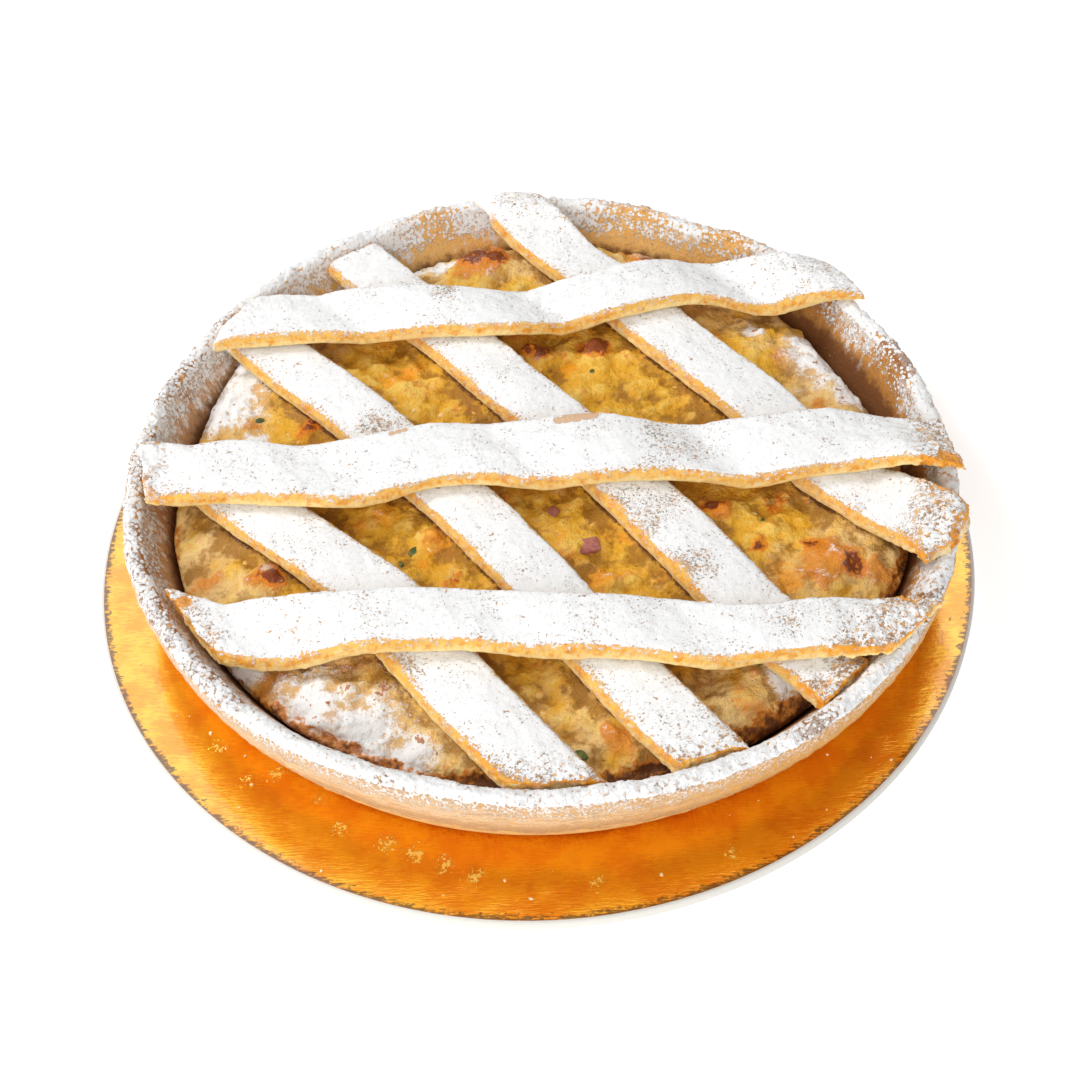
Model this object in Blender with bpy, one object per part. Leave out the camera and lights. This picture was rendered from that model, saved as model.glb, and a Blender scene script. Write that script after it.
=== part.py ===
"""A pastiera, the Neapolitan pie of ricotta and cooked wheat, on its gold cake card.

A shortcrust case holds the filling. Four slanting strips of dough lie on the filling, and three long
strips lie across them. All sizes are metres, +Z is up, and the origin is under the card's centre.
"""

import math
from collections import namedtuple

import bmesh
import bpy
import numpy as np
from mathutils import Vector, noise

# The card
CARD_RADIUS = 0.140
CARD_THICKNESS = 0.0028
CARD_SEGMENTS = 120

# What touches keeps this much air, so that no two solids share a face
GAP = 0.0003

# The case, whose centre lies behind the card's
PIE_CENTRE = Vector((0.0024, 0.0068))
BASE_RADIUS = 0.1204
RIM_RADIUS = 0.1304
RIM_TOP = 0.0352
RIM_ROUND = 0.0032
RIM_WALL = 0.0070
CASE_BOTTOM = CARD_THICKNESS + GAP
BASE_EDGE = 0.0016
FLOOR_TOP = CASE_BOTTOM + 0.0050
FLOOR_RADIUS = 0.1120
TURN_SEGMENTS = 100
WALL_STEPS = 4
CREST_STEPS = 5
INNER_STEPS = 3

# How far the hand-lined case is out of round: an oval and a three-cornered part, and a pinched fold
OVAL, OVAL_TURN = 0.0011, math.radians(-58)
CORNERS, CORNER_TURN = 0.0012, math.radians(-36)
FOLD_DEPTH, FOLD_TURN, FOLD_HALF = 0.0032, math.radians(62), math.radians(7)
RIM_RISE = 0.0010
RIM_SWELL = 0.0007

# The filling
FILLING_LEVEL = 0.0266
FILLING_DOME = 0.0022
FILLING_RINGS = 15
FILLING_GAP = 0.0006
EDGE_DIP = 0.0040
EDGE_BAND = 0.014
HOLLOW_DEPTH = 0.0016

# Two sizes of lump: how wide and how high they are, and where in the noise they are read
LUMPS = (
    (0.0190, 0.0031, Vector((3.1, 5.7, 0.4))),
    (0.0085, 0.0013, Vector((8.3, 1.2, 6.6))),
)

# Under a slanting strip the lumps are pressed to this share of their height. The pressed ground
# starts to fade at this share of the strip's half width, and is gone after this much more.
PRESSED_SHARE = 0.25
PRESSED_EDGE, PRESSED_FADE = 0.72, 0.8

# Where the filling shrank from the wall: the groove's middle, its half length and its depth
GROOVE_TURN, GROOVE_HALF = math.radians(24), math.radians(34)
GROOVE_DEPTH, GROOVE_WIDTH = 0.0065, 0.007

# Knobs of filling that baked up out of it: x, y, radius and height
KNOBS = (
    (-0.014, 0.100, 0.016, 0.0045),
    (0.092, 0.044, 0.018, 0.0040),
    (0.095, -0.041, 0.014, 0.0035),
    (-0.087, -0.037, 0.013, 0.0035),
    (-0.100, 0.040, 0.015, 0.0030),
    (0.022, 0.052, 0.012, 0.0025),
    (0.055, -0.023, 0.013, 0.0025),
    (-0.060, -0.087, 0.018, 0.0030),
    (0.054, -0.093, 0.014, 0.0025),
)

# The strips
STRIP_THICKNESS = 0.0054
STRIP_CROWN = 0.0005
STRIP_STATIONS = 30
PRESSED_THIN, PRESSED_LENGTH = 0.42, 0.016
TUCK_LEVEL = RIM_TOP - STRIP_THICKNESS - 0.0016
TUCK_GAP = 0.0008

# How dough drapes: the height that it loses with the square of the way from what holds it up
DRAPE_FALL = 24.0
DRAPE_REACH = 0.026
DRAPE_BLUR = 0.003
DRAPE_LIFT = 0.0007

# The square grid on which heights are worked out
CELL = 0.002
GRID_HALF = 0.144
NO_SUPPORT = 0.0
BLUR_SIGMAS = 2.5

# A strip with one end inside the wall and one on the rim changes between the two from this share of
# its length, over this share of it
CHANGE_FROM, CHANGE_SHARE = 0.25, 0.5

# A strip runs at its heading, in degrees, along a line that passes the case's centre at its offset,
# to the left of the heading, and sways from that line by so many millimetres at even steps. An
# end is either tucked inside the wall, or cut straight across, at a reach along the line, where the
# slant is how much further its left edge goes than its right edge. A cut end is pressed on the rim,
# except for one that stops short of it, under another strip.
MILLIMETRE = 0.001
Strip = namedtuple("Strip", "heading offset width start end sway")
Cut = namedtuple("Cut", "reach slant on_rim", defaults=[True])
TUCKED = None

SLANTING = {
    "strip_slant_1": Strip(
        -51.8, -0.0752, 0.0228, Cut(0.0640, 0.0, on_rim=False), TUCKED,
        (-4.4, -3.2, -0.5, 2.6, 4.4, 1.8, 0.7, 0.4, 0.0),
    ),
    "strip_slant_2": Strip(
        -53.6, -0.0328, 0.0215, TUCKED, TUCKED, (-3.9, -2.1, 0.8, 2.0, 3.0, 2.4, 0.5, -1.2, -1.5)
    ),
    "strip_slant_3": Strip(
        -54.4, 0.0130, 0.0225, TUCKED, TUCKED, (-1.6, -0.6, 0.1, 0.7, 2.2, 1.2, 0.0, -1.9, -0.1)
    ),
    "strip_slant_4": Strip(
        -54.5, 0.0695, 0.0228, Cut(0.1075, -0.0120), Cut(0.1100, -0.0040),
        (-1.7, -0.8, 1.1, 0.3, 0.8, 1.1, -2.6, 0.7, 1.6),
    ),
}
LONG = {
    "strip_long_back": Strip(
        2.6, 0.0701, 0.0240, TUCKED, Cut(0.1105, -0.0100),
        (1.6, 1.3, 0.1, -3.2, -4.0, 0.1, 4.6, 1.2, -1.7),
    ),
    "strip_long_middle": Strip(
        -0.8, -0.0043, 0.0268, Cut(0.1235, 0.0050), Cut(0.1275, -0.0030),
        (1.5, -0.3, -3.3, 2.9, 0.5, 1.6, -0.9, 2.1, -4.1),
    ),
    "strip_long_front": Strip(
        -5.3, -0.0706, 0.0218, TUCKED, Cut(0.1100, 0.0180),
        (-0.9, -1.0, 0.1, 1.6, -0.3, -0.2, -2.5, 1.7, 1.5),
    ),
}

# Colours, as red, green, blue, with roughness and metallic
CRUST_LOOK = ((0.76, 0.47, 0.22), 0.80, 0.0)
FILLING_LOOK = ((0.62, 0.37, 0.09), 0.55, 0.0)
SUGARED_LOOK = ((0.86, 0.84, 0.82), 0.95, 0.0)
CARD_LOOK = ((0.86, 0.52, 0.10), 0.25, 1.0)


def clear_scene():
    for obj in list(bpy.data.objects):
        bpy.data.objects.remove(obj)


def material(name, look):
    colour, roughness, metallic = look
    made = bpy.data.materials.new(name)
    made.use_nodes = True
    shader = made.node_tree.nodes["Principled BSDF"]
    shader.inputs["Base Color"].default_value = (*colour, 1.0)
    shader.inputs["Roughness"].default_value = roughness
    shader.inputs["Metallic"].default_value = metallic
    return made


def smooth_step(x):
    x = min(max(x, 0.0), 1.0)
    return x * x * (3.0 - 2.0 * x)


def wave(angle, turns, seed):
    """A smooth uneven number from -1 to 1 that comes back to itself after a whole turn."""
    return noise.noise(Vector((turns * math.cos(angle), turns * math.sin(angle), seed)))


# Shape of the case


def bump(angle, middle, half):
    """1 at the middle angle, falling smoothly to 0 at half on both sides of it."""
    away = abs((angle - middle + math.pi) % (2 * math.pi) - math.pi)
    return smooth_step(1.0 - away / half)


def rim_top(angle):
    return RIM_TOP + RIM_RISE * (wave(angle, 1.3, 2.0) + 0.8 * wave(angle, 5.0, 7.0))


def rim_radius(angle):
    oval = OVAL * math.cos(2 * (angle - OVAL_TURN))
    corners = CORNERS * math.cos(3 * (angle - CORNER_TURN))
    uneven = RIM_SWELL * (wave(angle, 2.2, 4.0) + 0.7 * wave(angle, 6.0, 9.0))
    return RIM_RADIUS + oval + corners + uneven - FOLD_DEPTH * bump(angle, FOLD_TURN, FOLD_HALF)


def rim_wall(angle):
    return RIM_WALL + RIM_SWELL * wave(angle, 4.0, 12.0)


def shoulder(angle):
    """Height at which the wall ends and the rounded crest begins."""
    return rim_top(angle) - RIM_ROUND


def inner_radius(angle, z):
    """The cavity's radius at height z: a straight slope from the floor up to the crest."""
    share = (z - FLOOR_TOP) / (shoulder(angle) - FLOOR_TOP)
    top = rim_radius(angle) - rim_wall(angle)
    return FLOOR_RADIUS + share * (top - FLOOR_RADIUS)


def case_profile(angle):
    """(radius, height) points from under the case, up its outside, over the crest and down inside."""
    outer, top = rim_radius(angle), shoulder(angle)
    points = [(BASE_RADIUS - BASE_EDGE, CASE_BOTTOM)]
    low = CASE_BOTTOM + BASE_EDGE
    for step in range(WALL_STEPS + 1):
        share = step / WALL_STEPS
        belly = math.sin(share * math.pi / 2)
        points.append((BASE_RADIUS + belly * (outer - BASE_RADIUS), low + share * (top - low)))
    half = rim_wall(angle) / 2
    for step in range(1, CREST_STEPS + 1):
        turn = math.pi * step / CREST_STEPS
        points.append((outer - half + half * math.cos(turn), top + RIM_ROUND * math.sin(turn)))
    for step in range(1, INNER_STEPS + 1):
        z = top + step / INNER_STEPS * (FLOOR_TOP - top)
        points.append((inner_radius(angle, z), z))
    return points


def crest_height(x, y):
    """Height of the case's crest over a point, or NO_SUPPORT away from it."""
    radius, angle = math.hypot(x, y), math.atan2(y, x)
    half = rim_wall(angle) / 2
    across = (radius - (rim_radius(angle) - half)) / half
    if abs(across) >= 1.0:
        return NO_SUPPORT
    return shoulder(angle) + RIM_ROUND * math.sqrt(1.0 - across * across)


# Shape of the strips in plan


def line_of(strip):
    """The strip's heading and the way to its left."""
    turn = math.radians(strip.heading)
    heading = Vector((math.cos(turn), math.sin(turn)))
    return heading, Vector((-heading.y, heading.x))


def through(values, share):
    """A smooth curve through values at even steps, read at a share of the way."""
    place = min(max(share, 0.0), 1.0) * (len(values) - 1)
    k = min(int(place), len(values) - 2)
    t = place - k
    before, after = values[max(k - 1, 0)], values[min(k + 2, len(values) - 1)]
    here, there = values[k], values[k + 1]
    slope, next_slope = (there - before) / 2, (after - here) / 2
    rest = (1 - t) * (1 - t)
    return (
        here * (1 + 2 * t) * rest + there * t * t * (3 - 2 * t)
        + slope * t * rest - next_slope * t * t * (1 - t)
    )


def end_reach(strip, away, way):
    """How far along its line the strip goes at this distance from the centre; way is 1 or -1."""
    end = strip.end if way > 0 else strip.start
    if end is not TUCKED:
        return end.reach + end.slant * (away - strip.offset) / strip.width
    heading, left = line_of(strip)
    reach = math.sqrt(FLOOR_RADIUS**2 - away * away)
    for _ in range(3):
        place = heading * (way * reach) + left * away
        wall = inner_radius(math.atan2(place.y, place.x), TUCK_LEVEL) - TUCK_GAP
        reach = math.sqrt(wall * wall - away * away)
    return reach


def strip_point(strip, across, share):
    """Where a point of the strip lies in plan; across runs from -1 on its right to 1 on its left."""
    heading, left = line_of(strip)
    sway = MILLIMETRE * through(strip.sway, share)
    away = strip.offset + across * strip.width / 2
    first = -end_reach(strip, away + MILLIMETRE * strip.sway[0], -1)
    last = end_reach(strip, away + MILLIMETRE * strip.sway[-1], 1)
    return heading * (first + share * (last - first)) + left * (away + sway)


def place_on(strip, x, y):
    """The (across, share) of a point in plan, near enough to tell what lies on the strip."""
    heading, left = line_of(strip)
    first = -end_reach(strip, strip.offset, -1)
    last = end_reach(strip, strip.offset, 1)
    share = (x * heading.x + y * heading.y - first) / (last - first)
    away = x * left.x + y * left.y - strip.offset - MILLIMETRE * through(strip.sway, share)
    return away / (strip.width / 2), share


def thickness(strip, share):
    """Pressed thin towards an end that lies on the rim."""
    length = end_reach(strip, strip.offset, 1) + end_reach(strip, strip.offset, -1)
    thin = 0.0
    for end, away in ((strip.start, share * length), (strip.end, (1 - share) * length)):
        if end is not TUCKED and end.on_rim:
            thin = max(thin, PRESSED_THIN * smooth_step(1.0 - away / PRESSED_LENGTH))
    return STRIP_THICKNESS * (1.0 - thin)


def on_rim(strip, share):
    """0 near a tucked end and 1 near an end that lies on the rim, with a smooth change between."""
    start = 0.0 if strip.start is TUCKED else float(strip.start.on_rim)
    end = 0.0 if strip.end is TUCKED else float(strip.end.on_rim)
    return start + (end - start) * smooth_step((share - CHANGE_FROM) / CHANGE_SHARE)


# Shape of the filling


def under_slanting(x, y):
    """1 under a slanting strip and 0 away from them all, with a soft edge."""
    most = 0.0
    for strip in SLANTING.values():
        across, share = place_on(strip, x, y)
        if 0.0 <= share <= 1.0:
            most = max(most, 1.0 - smooth_step((abs(across) - PRESSED_EDGE) / PRESSED_FADE))
    return most


def filling_height(x, y):
    from_centre, angle = math.hypot(x, y), math.atan2(y, x)
    wall = inner_radius(angle, FILLING_LEVEL)
    dome = FILLING_DOME * (1.0 - (from_centre / wall) ** 2)
    band = EDGE_BAND * (1.0 + 0.4 * wave(angle, 2.5, 21.0))
    from_wall = wall - from_centre
    dip = EDGE_DIP * (1.0 + 0.5 * wave(angle, 3.0, 17.0)) * smooth_step(1.0 - from_wall / band)
    groove = GROOVE_DEPTH * bump(angle, GROOVE_TURN, GROOVE_HALF)
    dip += groove * smooth_step(1.0 - from_wall / GROOVE_WIDTH)
    place = Vector((x, y, 0.0))
    lumps = sum(height * noise.noise(place / size + seed) for size, height, seed in LUMPS)
    pressed = under_slanting(x, y)
    lumps *= 1.0 - (1.0 - PRESSED_SHARE) * pressed
    knobs = max(
        height * smooth_step(1.0 - math.hypot(x - kx, y - ky) / radius)
        for kx, ky, radius, height in KNOBS
    )
    return FILLING_LEVEL + dome - dip + lumps + (knobs - HOLLOW_DEPTH) * (1.0 - pressed)


# Heights on the grid, and how a strip drapes over them


def grid_line():
    return np.arange(-GRID_HALF, GRID_HALF + CELL / 2, CELL)


def heights_of(function):
    line = grid_line()
    return np.array([[function(x, y) for x in line] for y in line])


def shifted(heights, rows, columns):
    """The grid moved by whole cells, with NO_SUPPORT coming in at the edge."""
    size = len(heights)
    moved = np.full_like(heights, NO_SUPPORT)
    to_rows = slice(max(rows, 0), size + min(rows, 0))
    to_columns = slice(max(columns, 0), size + min(columns, 0))
    from_rows = slice(max(-rows, 0), size + min(-rows, 0))
    from_columns = slice(max(-columns, 0), size + min(-columns, 0))
    moved[to_rows, to_columns] = heights[from_rows, from_columns]
    return moved


def blurred(heights):
    reach = math.ceil(BLUR_SIGMAS * DRAPE_BLUR / CELL)
    steps = np.arange(-reach, reach + 1)
    weights = np.exp(-0.5 * (steps * CELL / DRAPE_BLUR) ** 2)
    weights /= weights.sum()
    padded = np.pad(heights, reach, mode="edge")
    across = sum(w * padded[:, k : k + len(heights)] for k, w in enumerate(weights))
    return sum(w * across[k : k + len(heights)] for k, w in enumerate(weights))


def draped(support):
    """The underside of a sheet of dough laid on support: it hangs between the high places."""
    reach = int(DRAPE_REACH / CELL)
    sheet = support.copy()
    for rows in range(-reach, reach + 1):
        for columns in range(-reach, reach + 1):
            fall = DRAPE_FALL * (rows * rows + columns * columns) * CELL * CELL
            sheet = np.maximum(sheet, shifted(support, rows, columns) - fall)
    return blurred(sheet) + DRAPE_LIFT


def sampled(heights, x, y):
    """The height between the grid's points, by straight lines."""
    column, row = (x + GRID_HALF) / CELL, (y + GRID_HALF) / CELL
    i, j = int(column), int(row)
    u, v = column - i, row - j
    low = heights[j, i] * (1 - u) + heights[j, i + 1] * u
    high = heights[j + 1, i] * (1 - u) + heights[j + 1, i + 1] * u
    return float(low * (1 - v) + high * v)


def wall_ledge(x, y):
    """What a tucked end is pinched against: a level just inside the wall."""
    wall = inner_radius(math.atan2(y, x), TUCK_LEVEL)
    inside = wall - 2 * CELL < math.hypot(x, y) < wall
    return TUCK_LEVEL - DRAPE_LIFT if inside else NO_SUPPORT


def laid_over(bed, strips, undersides):
    """The bed with the tops of these strips added where they lie."""
    line = grid_line()
    made = bed.copy()
    for strip in strips.values():
        edge = 1.0 + 2 * CELL / strip.width
        for row, y in enumerate(line):
            for column, x in enumerate(line):
                across, share = place_on(strip, x, y)
                if abs(across) < edge and -0.01 < share < 1.01:
                    low = underside_at(undersides, strip, x, y, share)
                    made[row, column] = low + thickness(strip, share) + STRIP_CROWN
    return made


def underside_at(undersides, strip, x, y, share):
    """Height of the strip's underside, between the drape inside the wall and the one over the rim."""
    inside, over = undersides
    mix = on_rim(strip, share)
    return sampled(inside, x, y) * (1.0 - mix) + sampled(over, x, y) * mix


def drape_lattice():
    """The undersides of the slanting strips and of the long ones, each inside the wall and over it."""
    filling = heights_of(filling_height)
    inside = np.maximum(filling, heights_of(wall_ledge))
    over = np.maximum(filling, heights_of(crest_height))
    line = grid_line()
    disc = np.hypot(*np.meshgrid(line, line)) < RIM_RADIUS
    inside, over = np.where(disc, inside, NO_SUPPORT), np.where(disc, over, NO_SUPPORT)
    lower = (draped(inside), draped(over))
    upper = (
        draped(laid_over(inside, SLANTING, lower)),
        draped(laid_over(over, SLANTING, lower)),
    )
    return lower, upper


# Building the solids


def add_object(name, mesh, look):
    mesh.materials.append(look)
    obj = bpy.data.objects.new(name, mesh)
    bpy.context.scene.collection.objects.link(obj)
    obj.location = (PIE_CENTRE.x, PIE_CENTRE.y, 0.0)
    return obj


def mesh_of_rings(name, rings):
    """A closed mesh whose skin joins each ring to the next; the first and last rings are capped."""
    made = bmesh.new()
    corners = [[made.verts.new(point) for point in ring] for ring in rings]
    count = len(rings[0])
    for low, high in zip(corners, corners[1:]):
        for k in range(count):
            after = (k + 1) % count
            made.faces.new((low[k], low[after], high[after], high[k]))
    made.faces.new(corners[0][::-1])
    made.faces.new(corners[-1])
    bmesh.ops.recalc_face_normals(made, faces=made.faces)
    mesh = bpy.data.meshes.new(name)
    made.to_mesh(mesh)
    made.free()
    return mesh


def shade(mesh, sharp_degrees):
    mesh.shade_smooth()
    mesh.set_sharp_from_angle(angle=math.radians(sharp_degrees))


def turns():
    return [2 * math.pi * k / TURN_SEGMENTS for k in range(TURN_SEGMENTS)]


def build_card(look):
    bpy.ops.mesh.primitive_cylinder_add(
        vertices=CARD_SEGMENTS,
        radius=CARD_RADIUS,
        depth=CARD_THICKNESS,
        location=(0.0, 0.0, CARD_THICKNESS / 2),
    )
    card = bpy.context.object
    card.name = "gold_card"
    card.data.materials.append(look)
    shade(card.data, 40)


def build_case(look):
    profiles = [case_profile(angle) for angle in turns()]
    rings = []
    for level in range(len(profiles[0])):
        ring = []
        for angle, profile in zip(turns(), profiles):
            radius, z = profile[level]
            ring.append((radius * math.cos(angle), radius * math.sin(angle), z))
        rings.append(ring)
    mesh = mesh_of_rings("crust", rings)
    shade(mesh, 60)
    add_object("crust", mesh, look)


def filling_edge(angle):
    """Where the filling's top meets the wall at this angle: its radius and height."""
    rough = inner_radius(angle, FILLING_LEVEL)
    height = filling_height(rough * math.cos(angle), rough * math.sin(angle))
    return inner_radius(angle, height) - FILLING_GAP, height


def build_filling(look):
    edges = [filling_edge(angle) for angle in turns()]
    rings = []
    for step in range(INNER_STEPS + 1):
        share = step / INNER_STEPS
        ring = []
        for angle, (_, height) in zip(turns(), edges):
            z = FLOOR_TOP + GAP + share * (height - FLOOR_TOP - GAP)
            radius = inner_radius(angle, z) - FILLING_GAP
            ring.append((radius * math.cos(angle), radius * math.sin(angle), z))
        rings.append(ring)
    for step in range(1, FILLING_RINGS):
        share = 1.0 - step / FILLING_RINGS
        ring = []
        for angle, (radius, _) in zip(turns(), edges):
            x, y = share * radius * math.cos(angle), share * radius * math.sin(angle)
            ring.append((x, y, filling_height(x, y)))
        rings.append(ring)
    mesh = mesh_of_rings("filling", rings)
    shade(mesh, 60)
    add_object("filling", mesh, look)


def strip_section():
    """(place across, from -1 to 1, height as a share of the thickness) round a strip's section."""
    under = [(-0.93, 0.0), (-0.32, 0.0), (0.32, 0.0), (0.93, 0.0)]
    right = [(1.0, 0.22), (0.985, 0.68)]
    over = [(0.86, 0.97), (0.43, 1.0), (0.0, 1.0), (-0.43, 1.0), (-0.86, 0.97)]
    left = [(-0.985, 0.68), (-1.0, 0.22)]
    return under + right + over + left


def build_strip(name, strip, undersides, look):
    rings = []
    for station in range(STRIP_STATIONS + 1):
        share = station / STRIP_STATIONS
        thick = thickness(strip, share)
        ring = []
        for across, lift in strip_section():
            place = strip_point(strip, across, share)
            crown = STRIP_CROWN * (1.0 - across * across) if lift > 0.9 else 0.0
            z = underside_at(undersides, strip, place.x, place.y, share) + lift * thick + crown
            ring.append((place.x, place.y, z))
        rings.append(ring)
    mesh = mesh_of_rings(name, rings)
    shade(mesh, 50)
    add_object(name, mesh, look)


def main():
    clear_scene()
    build_card(material("gold_foil_card", CARD_LOOK))
    build_case(material("shortcrust", CRUST_LOOK))
    build_filling(material("ricotta_and_wheat", FILLING_LOOK))
    sugared = material("sugared_shortcrust", SUGARED_LOOK)
    lower, upper = drape_lattice()
    for name, strip in SLANTING.items():
        build_strip(name, strip, lower, sugared)
    for name, strip in LONG.items():
        build_strip(name, strip, upper, sugared)


main()
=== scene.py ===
# %% [markdown]
# # A pastiera on its gold card
#
# This is the Neapolitan Easter pie: a shortcrust case, a filling of ricotta and cooked wheat, and a
# lattice of dough strips under a heavy fall of icing sugar. The imported model gives the solids at
# their real size. They could be painted as they are, but crumbly dough and powder need far finer
# faces than a solid for a physics engine has. So each solid is copied, given small faces and worked
# over, and the copy then stands in the solid's place.

# %% Load the model
import math

import bpy
import numpy as np
from mathutils import Matrix, Vector
from mathutils.bvhtree import BVHTree


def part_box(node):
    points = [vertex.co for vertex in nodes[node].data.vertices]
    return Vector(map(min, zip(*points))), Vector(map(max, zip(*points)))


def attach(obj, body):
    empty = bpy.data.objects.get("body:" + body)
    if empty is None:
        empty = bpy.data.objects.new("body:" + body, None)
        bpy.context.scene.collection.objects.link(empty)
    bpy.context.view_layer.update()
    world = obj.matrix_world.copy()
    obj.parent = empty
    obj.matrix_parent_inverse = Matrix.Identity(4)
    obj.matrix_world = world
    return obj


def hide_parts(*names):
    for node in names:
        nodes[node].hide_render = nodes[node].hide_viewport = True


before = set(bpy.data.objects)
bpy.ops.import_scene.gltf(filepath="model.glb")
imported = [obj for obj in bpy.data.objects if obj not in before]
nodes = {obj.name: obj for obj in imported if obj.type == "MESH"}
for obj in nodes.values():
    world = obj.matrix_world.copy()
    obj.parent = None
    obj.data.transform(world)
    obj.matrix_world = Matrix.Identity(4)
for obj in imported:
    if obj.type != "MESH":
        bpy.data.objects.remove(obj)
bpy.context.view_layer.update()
bpy.ops.object.select_all(action="DESELECT")

MM = 0.001
SLANTING = sorted(name for name in nodes if name.startswith("strip_slant"))
LONG = sorted(name for name in nodes if name.startswith("strip_long"))
crust_low, crust_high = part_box("crust")
card_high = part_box("gold_card")[1]
PIE_CENTRE = (crust_low + crust_high) / 2
RIM_RADIUS = (crust_high.x - crust_low.x) / 2
CARD_RADIUS = card_high.x
CARD_TOP = card_high.z
print(f"{len(nodes)} solids, the pie is {2000 * RIM_RADIUS:.0f} mm across")

# %% [markdown]
# ## The camera
#
# The pie is looked down on from in front, at about 49 degrees, from half a metre away. A camera can
# be turned by Euler angles or by a Track To constraint. Here its three axes are worked out and put
# into a matrix, because a slight roll of the picture is then one more turn of two of them.

# %% Camera
ELEVATION = math.radians(48.68)
ROLL = math.radians(3.08)
DISTANCE = 0.5545
FOCAL = 1700 / 1080
SHIFT = (0.00435, 0.00241)
SENSOR = 36.0

eye = Vector((0.0, -math.cos(ELEVATION), math.sin(ELEVATION))) * DISTANCE
ahead = -eye.normalized()
right = Vector((1.0, 0.0, 0.0))
above = right.cross(ahead)
rolled_right = right * math.cos(ROLL) - above * math.sin(ROLL)
rolled_above = above * math.cos(ROLL) + right * math.sin(ROLL)

bpy.ops.object.camera_add()
camera = bpy.context.object
camera.name = "camera"
camera.data.sensor_width = SENSOR
camera.data.lens = FOCAL * SENSOR
camera.data.shift_x, camera.data.shift_y = SHIFT
camera.data.clip_start = 0.01
placing = Matrix((rolled_right, rolled_above, -ahead)).transposed().to_4x4()
placing.translation = eye
camera.matrix_world = placing
bpy.context.scene.camera = camera
print(f"camera {DISTANCE * 1000:.0f} mm away, lens {camera.data.lens:.1f} mm")

# %% [markdown]
# ## Light and floor
#
# Sugar shows its relief only under light that comes mostly from one side, and gold foil shows only
# what it reflects. A lamp straight above would flatten both. A bright white room gives the soft
# base, and a lamp from behind on the left gives the relief. A larger, softer one in front lifts the
# side of the case. A wide cool panel behind the pie is there for the foil to reflect, and it lights
# nothing else.

# %% A white room
WHITE = (1.0, 1.0, 1.0)

# How bright the room is, and how much more for each unit of x, y and z of the way that is looked
ROOM_LIGHT, ROOM_SLOPE = 0.57, (-0.05, -0.27, 0.0)


def white_room():
    """A white world round the pie, which is brighter in front of it."""
    world = bpy.data.worlds.new("white_room")
    world.use_nodes = True
    tree = world.node_tree
    room = tree.nodes["Background"]
    room.inputs["Color"].default_value = (*WHITE, 1.0)
    looking = tree.nodes.new("ShaderNodeTexCoord")
    slope = tree.nodes.new("ShaderNodeVectorMath")
    slope.operation = "DOT_PRODUCT"
    slope.inputs[1].default_value = ROOM_SLOPE
    strength = tree.nodes.new("ShaderNodeMath")
    strength.inputs[1].default_value = ROOM_LIGHT
    tree.links.new(looking.outputs["Generated"], slope.inputs[0])
    tree.links.new(slope.outputs["Value"], strength.inputs[0])
    tree.links.new(strength.outputs[0], room.inputs["Strength"])
    return world


bpy.context.scene.world = white_room()
bpy.context.scene.view_settings.view_transform = "Standard"
print(f"a room of strength {ROOM_LIGHT}")

# %% Lamps
COOL = (0.64, 0.85, 3.6)

# Each lamp's place and size in metres, its power and its colour
LAMPS = {
    "key_light": ((-1.05, 0.65, 1.2), 0.55, 14.8, WHITE),
    "front_light": ((-0.6, -1.2, 0.46), 1.6, 14.6, WHITE),
    "foil_panel": ((0.0, 1.2, 1.3), 2.6, 28.0, COOL),
}


def soft_light(name, place, size, power, colour):
    """A square area lamp that looks at the pie."""
    bpy.ops.object.light_add(type="AREA", location=place)
    lamp = bpy.context.object
    lamp.name = name
    lamp.data.size = size
    lamp.data.energy = power
    lamp.data.color = colour
    lamp.rotation_euler = (Vector(place) * -1).to_track_quat("-Z", "Y").to_euler()
    return lamp


lamps = {name: soft_light(name, *settings) for name, settings in LAMPS.items()}
lamps["foil_panel"].visible_diffuse = False
print(f"{len(lamps)} lamps")

# %% Floor
FLOOR_SIZE, FLOOR_DROP = 8.0, 0.0002
bpy.ops.mesh.primitive_plane_add(size=FLOOR_SIZE, location=(0.0, 0.0, -FLOOR_DROP))
floor = bpy.context.object
floor.name = "pale_floor"
bpy.ops.object.select_all(action="DESELECT")
print(f"a floor {FLOOR_SIZE:.0f} m wide")

# %% [markdown]
# ## Shader maths as Python
#
# A finish here is a few dozen nodes, and wiring each by hand hides what it says. Two small classes
# keep it readable. A Wire is a socket on which +, -, * and comparisons by ramps work, each adding
# its own Math node. A Finish is a material with one method that adds any node, and a few short
# names for the nodes that every finish of this pie needs.


# %% Wires and finishes
class Wire:
    """An output socket of a finish, on which arithmetic adds Math nodes."""

    def __init__(self, finish, socket):
        self.finish = finish
        self.socket = socket

    def maths(self, operation, first, second):
        return self.finish.node(
            "ShaderNodeMath", {"operation": operation}, {0: first, 1: second}
        )

    def __add__(self, other):
        return self.maths("ADD", self, other)

    def __radd__(self, other):
        return self.maths("ADD", other, self)

    def __sub__(self, other):
        return self.maths("SUBTRACT", self, other)

    def __rsub__(self, other):
        return self.maths("SUBTRACT", other, self)

    def __mul__(self, other):
        return self.maths("MULTIPLY", self, other)

    def __rmul__(self, other):
        return self.maths("MULTIPLY", other, self)

    def most(self, other):
        return self.maths("MAXIMUM", self, other)

    def between(self, low, high):
        """0 below low, 1 above high, with a smooth change. Low above high turns it round."""
        settings = {"interpolation_type": "SMOOTHSTEP"}
        return self.finish.node("ShaderNodeMapRange", settings, {0: self, 1: low, 2: high})


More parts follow.
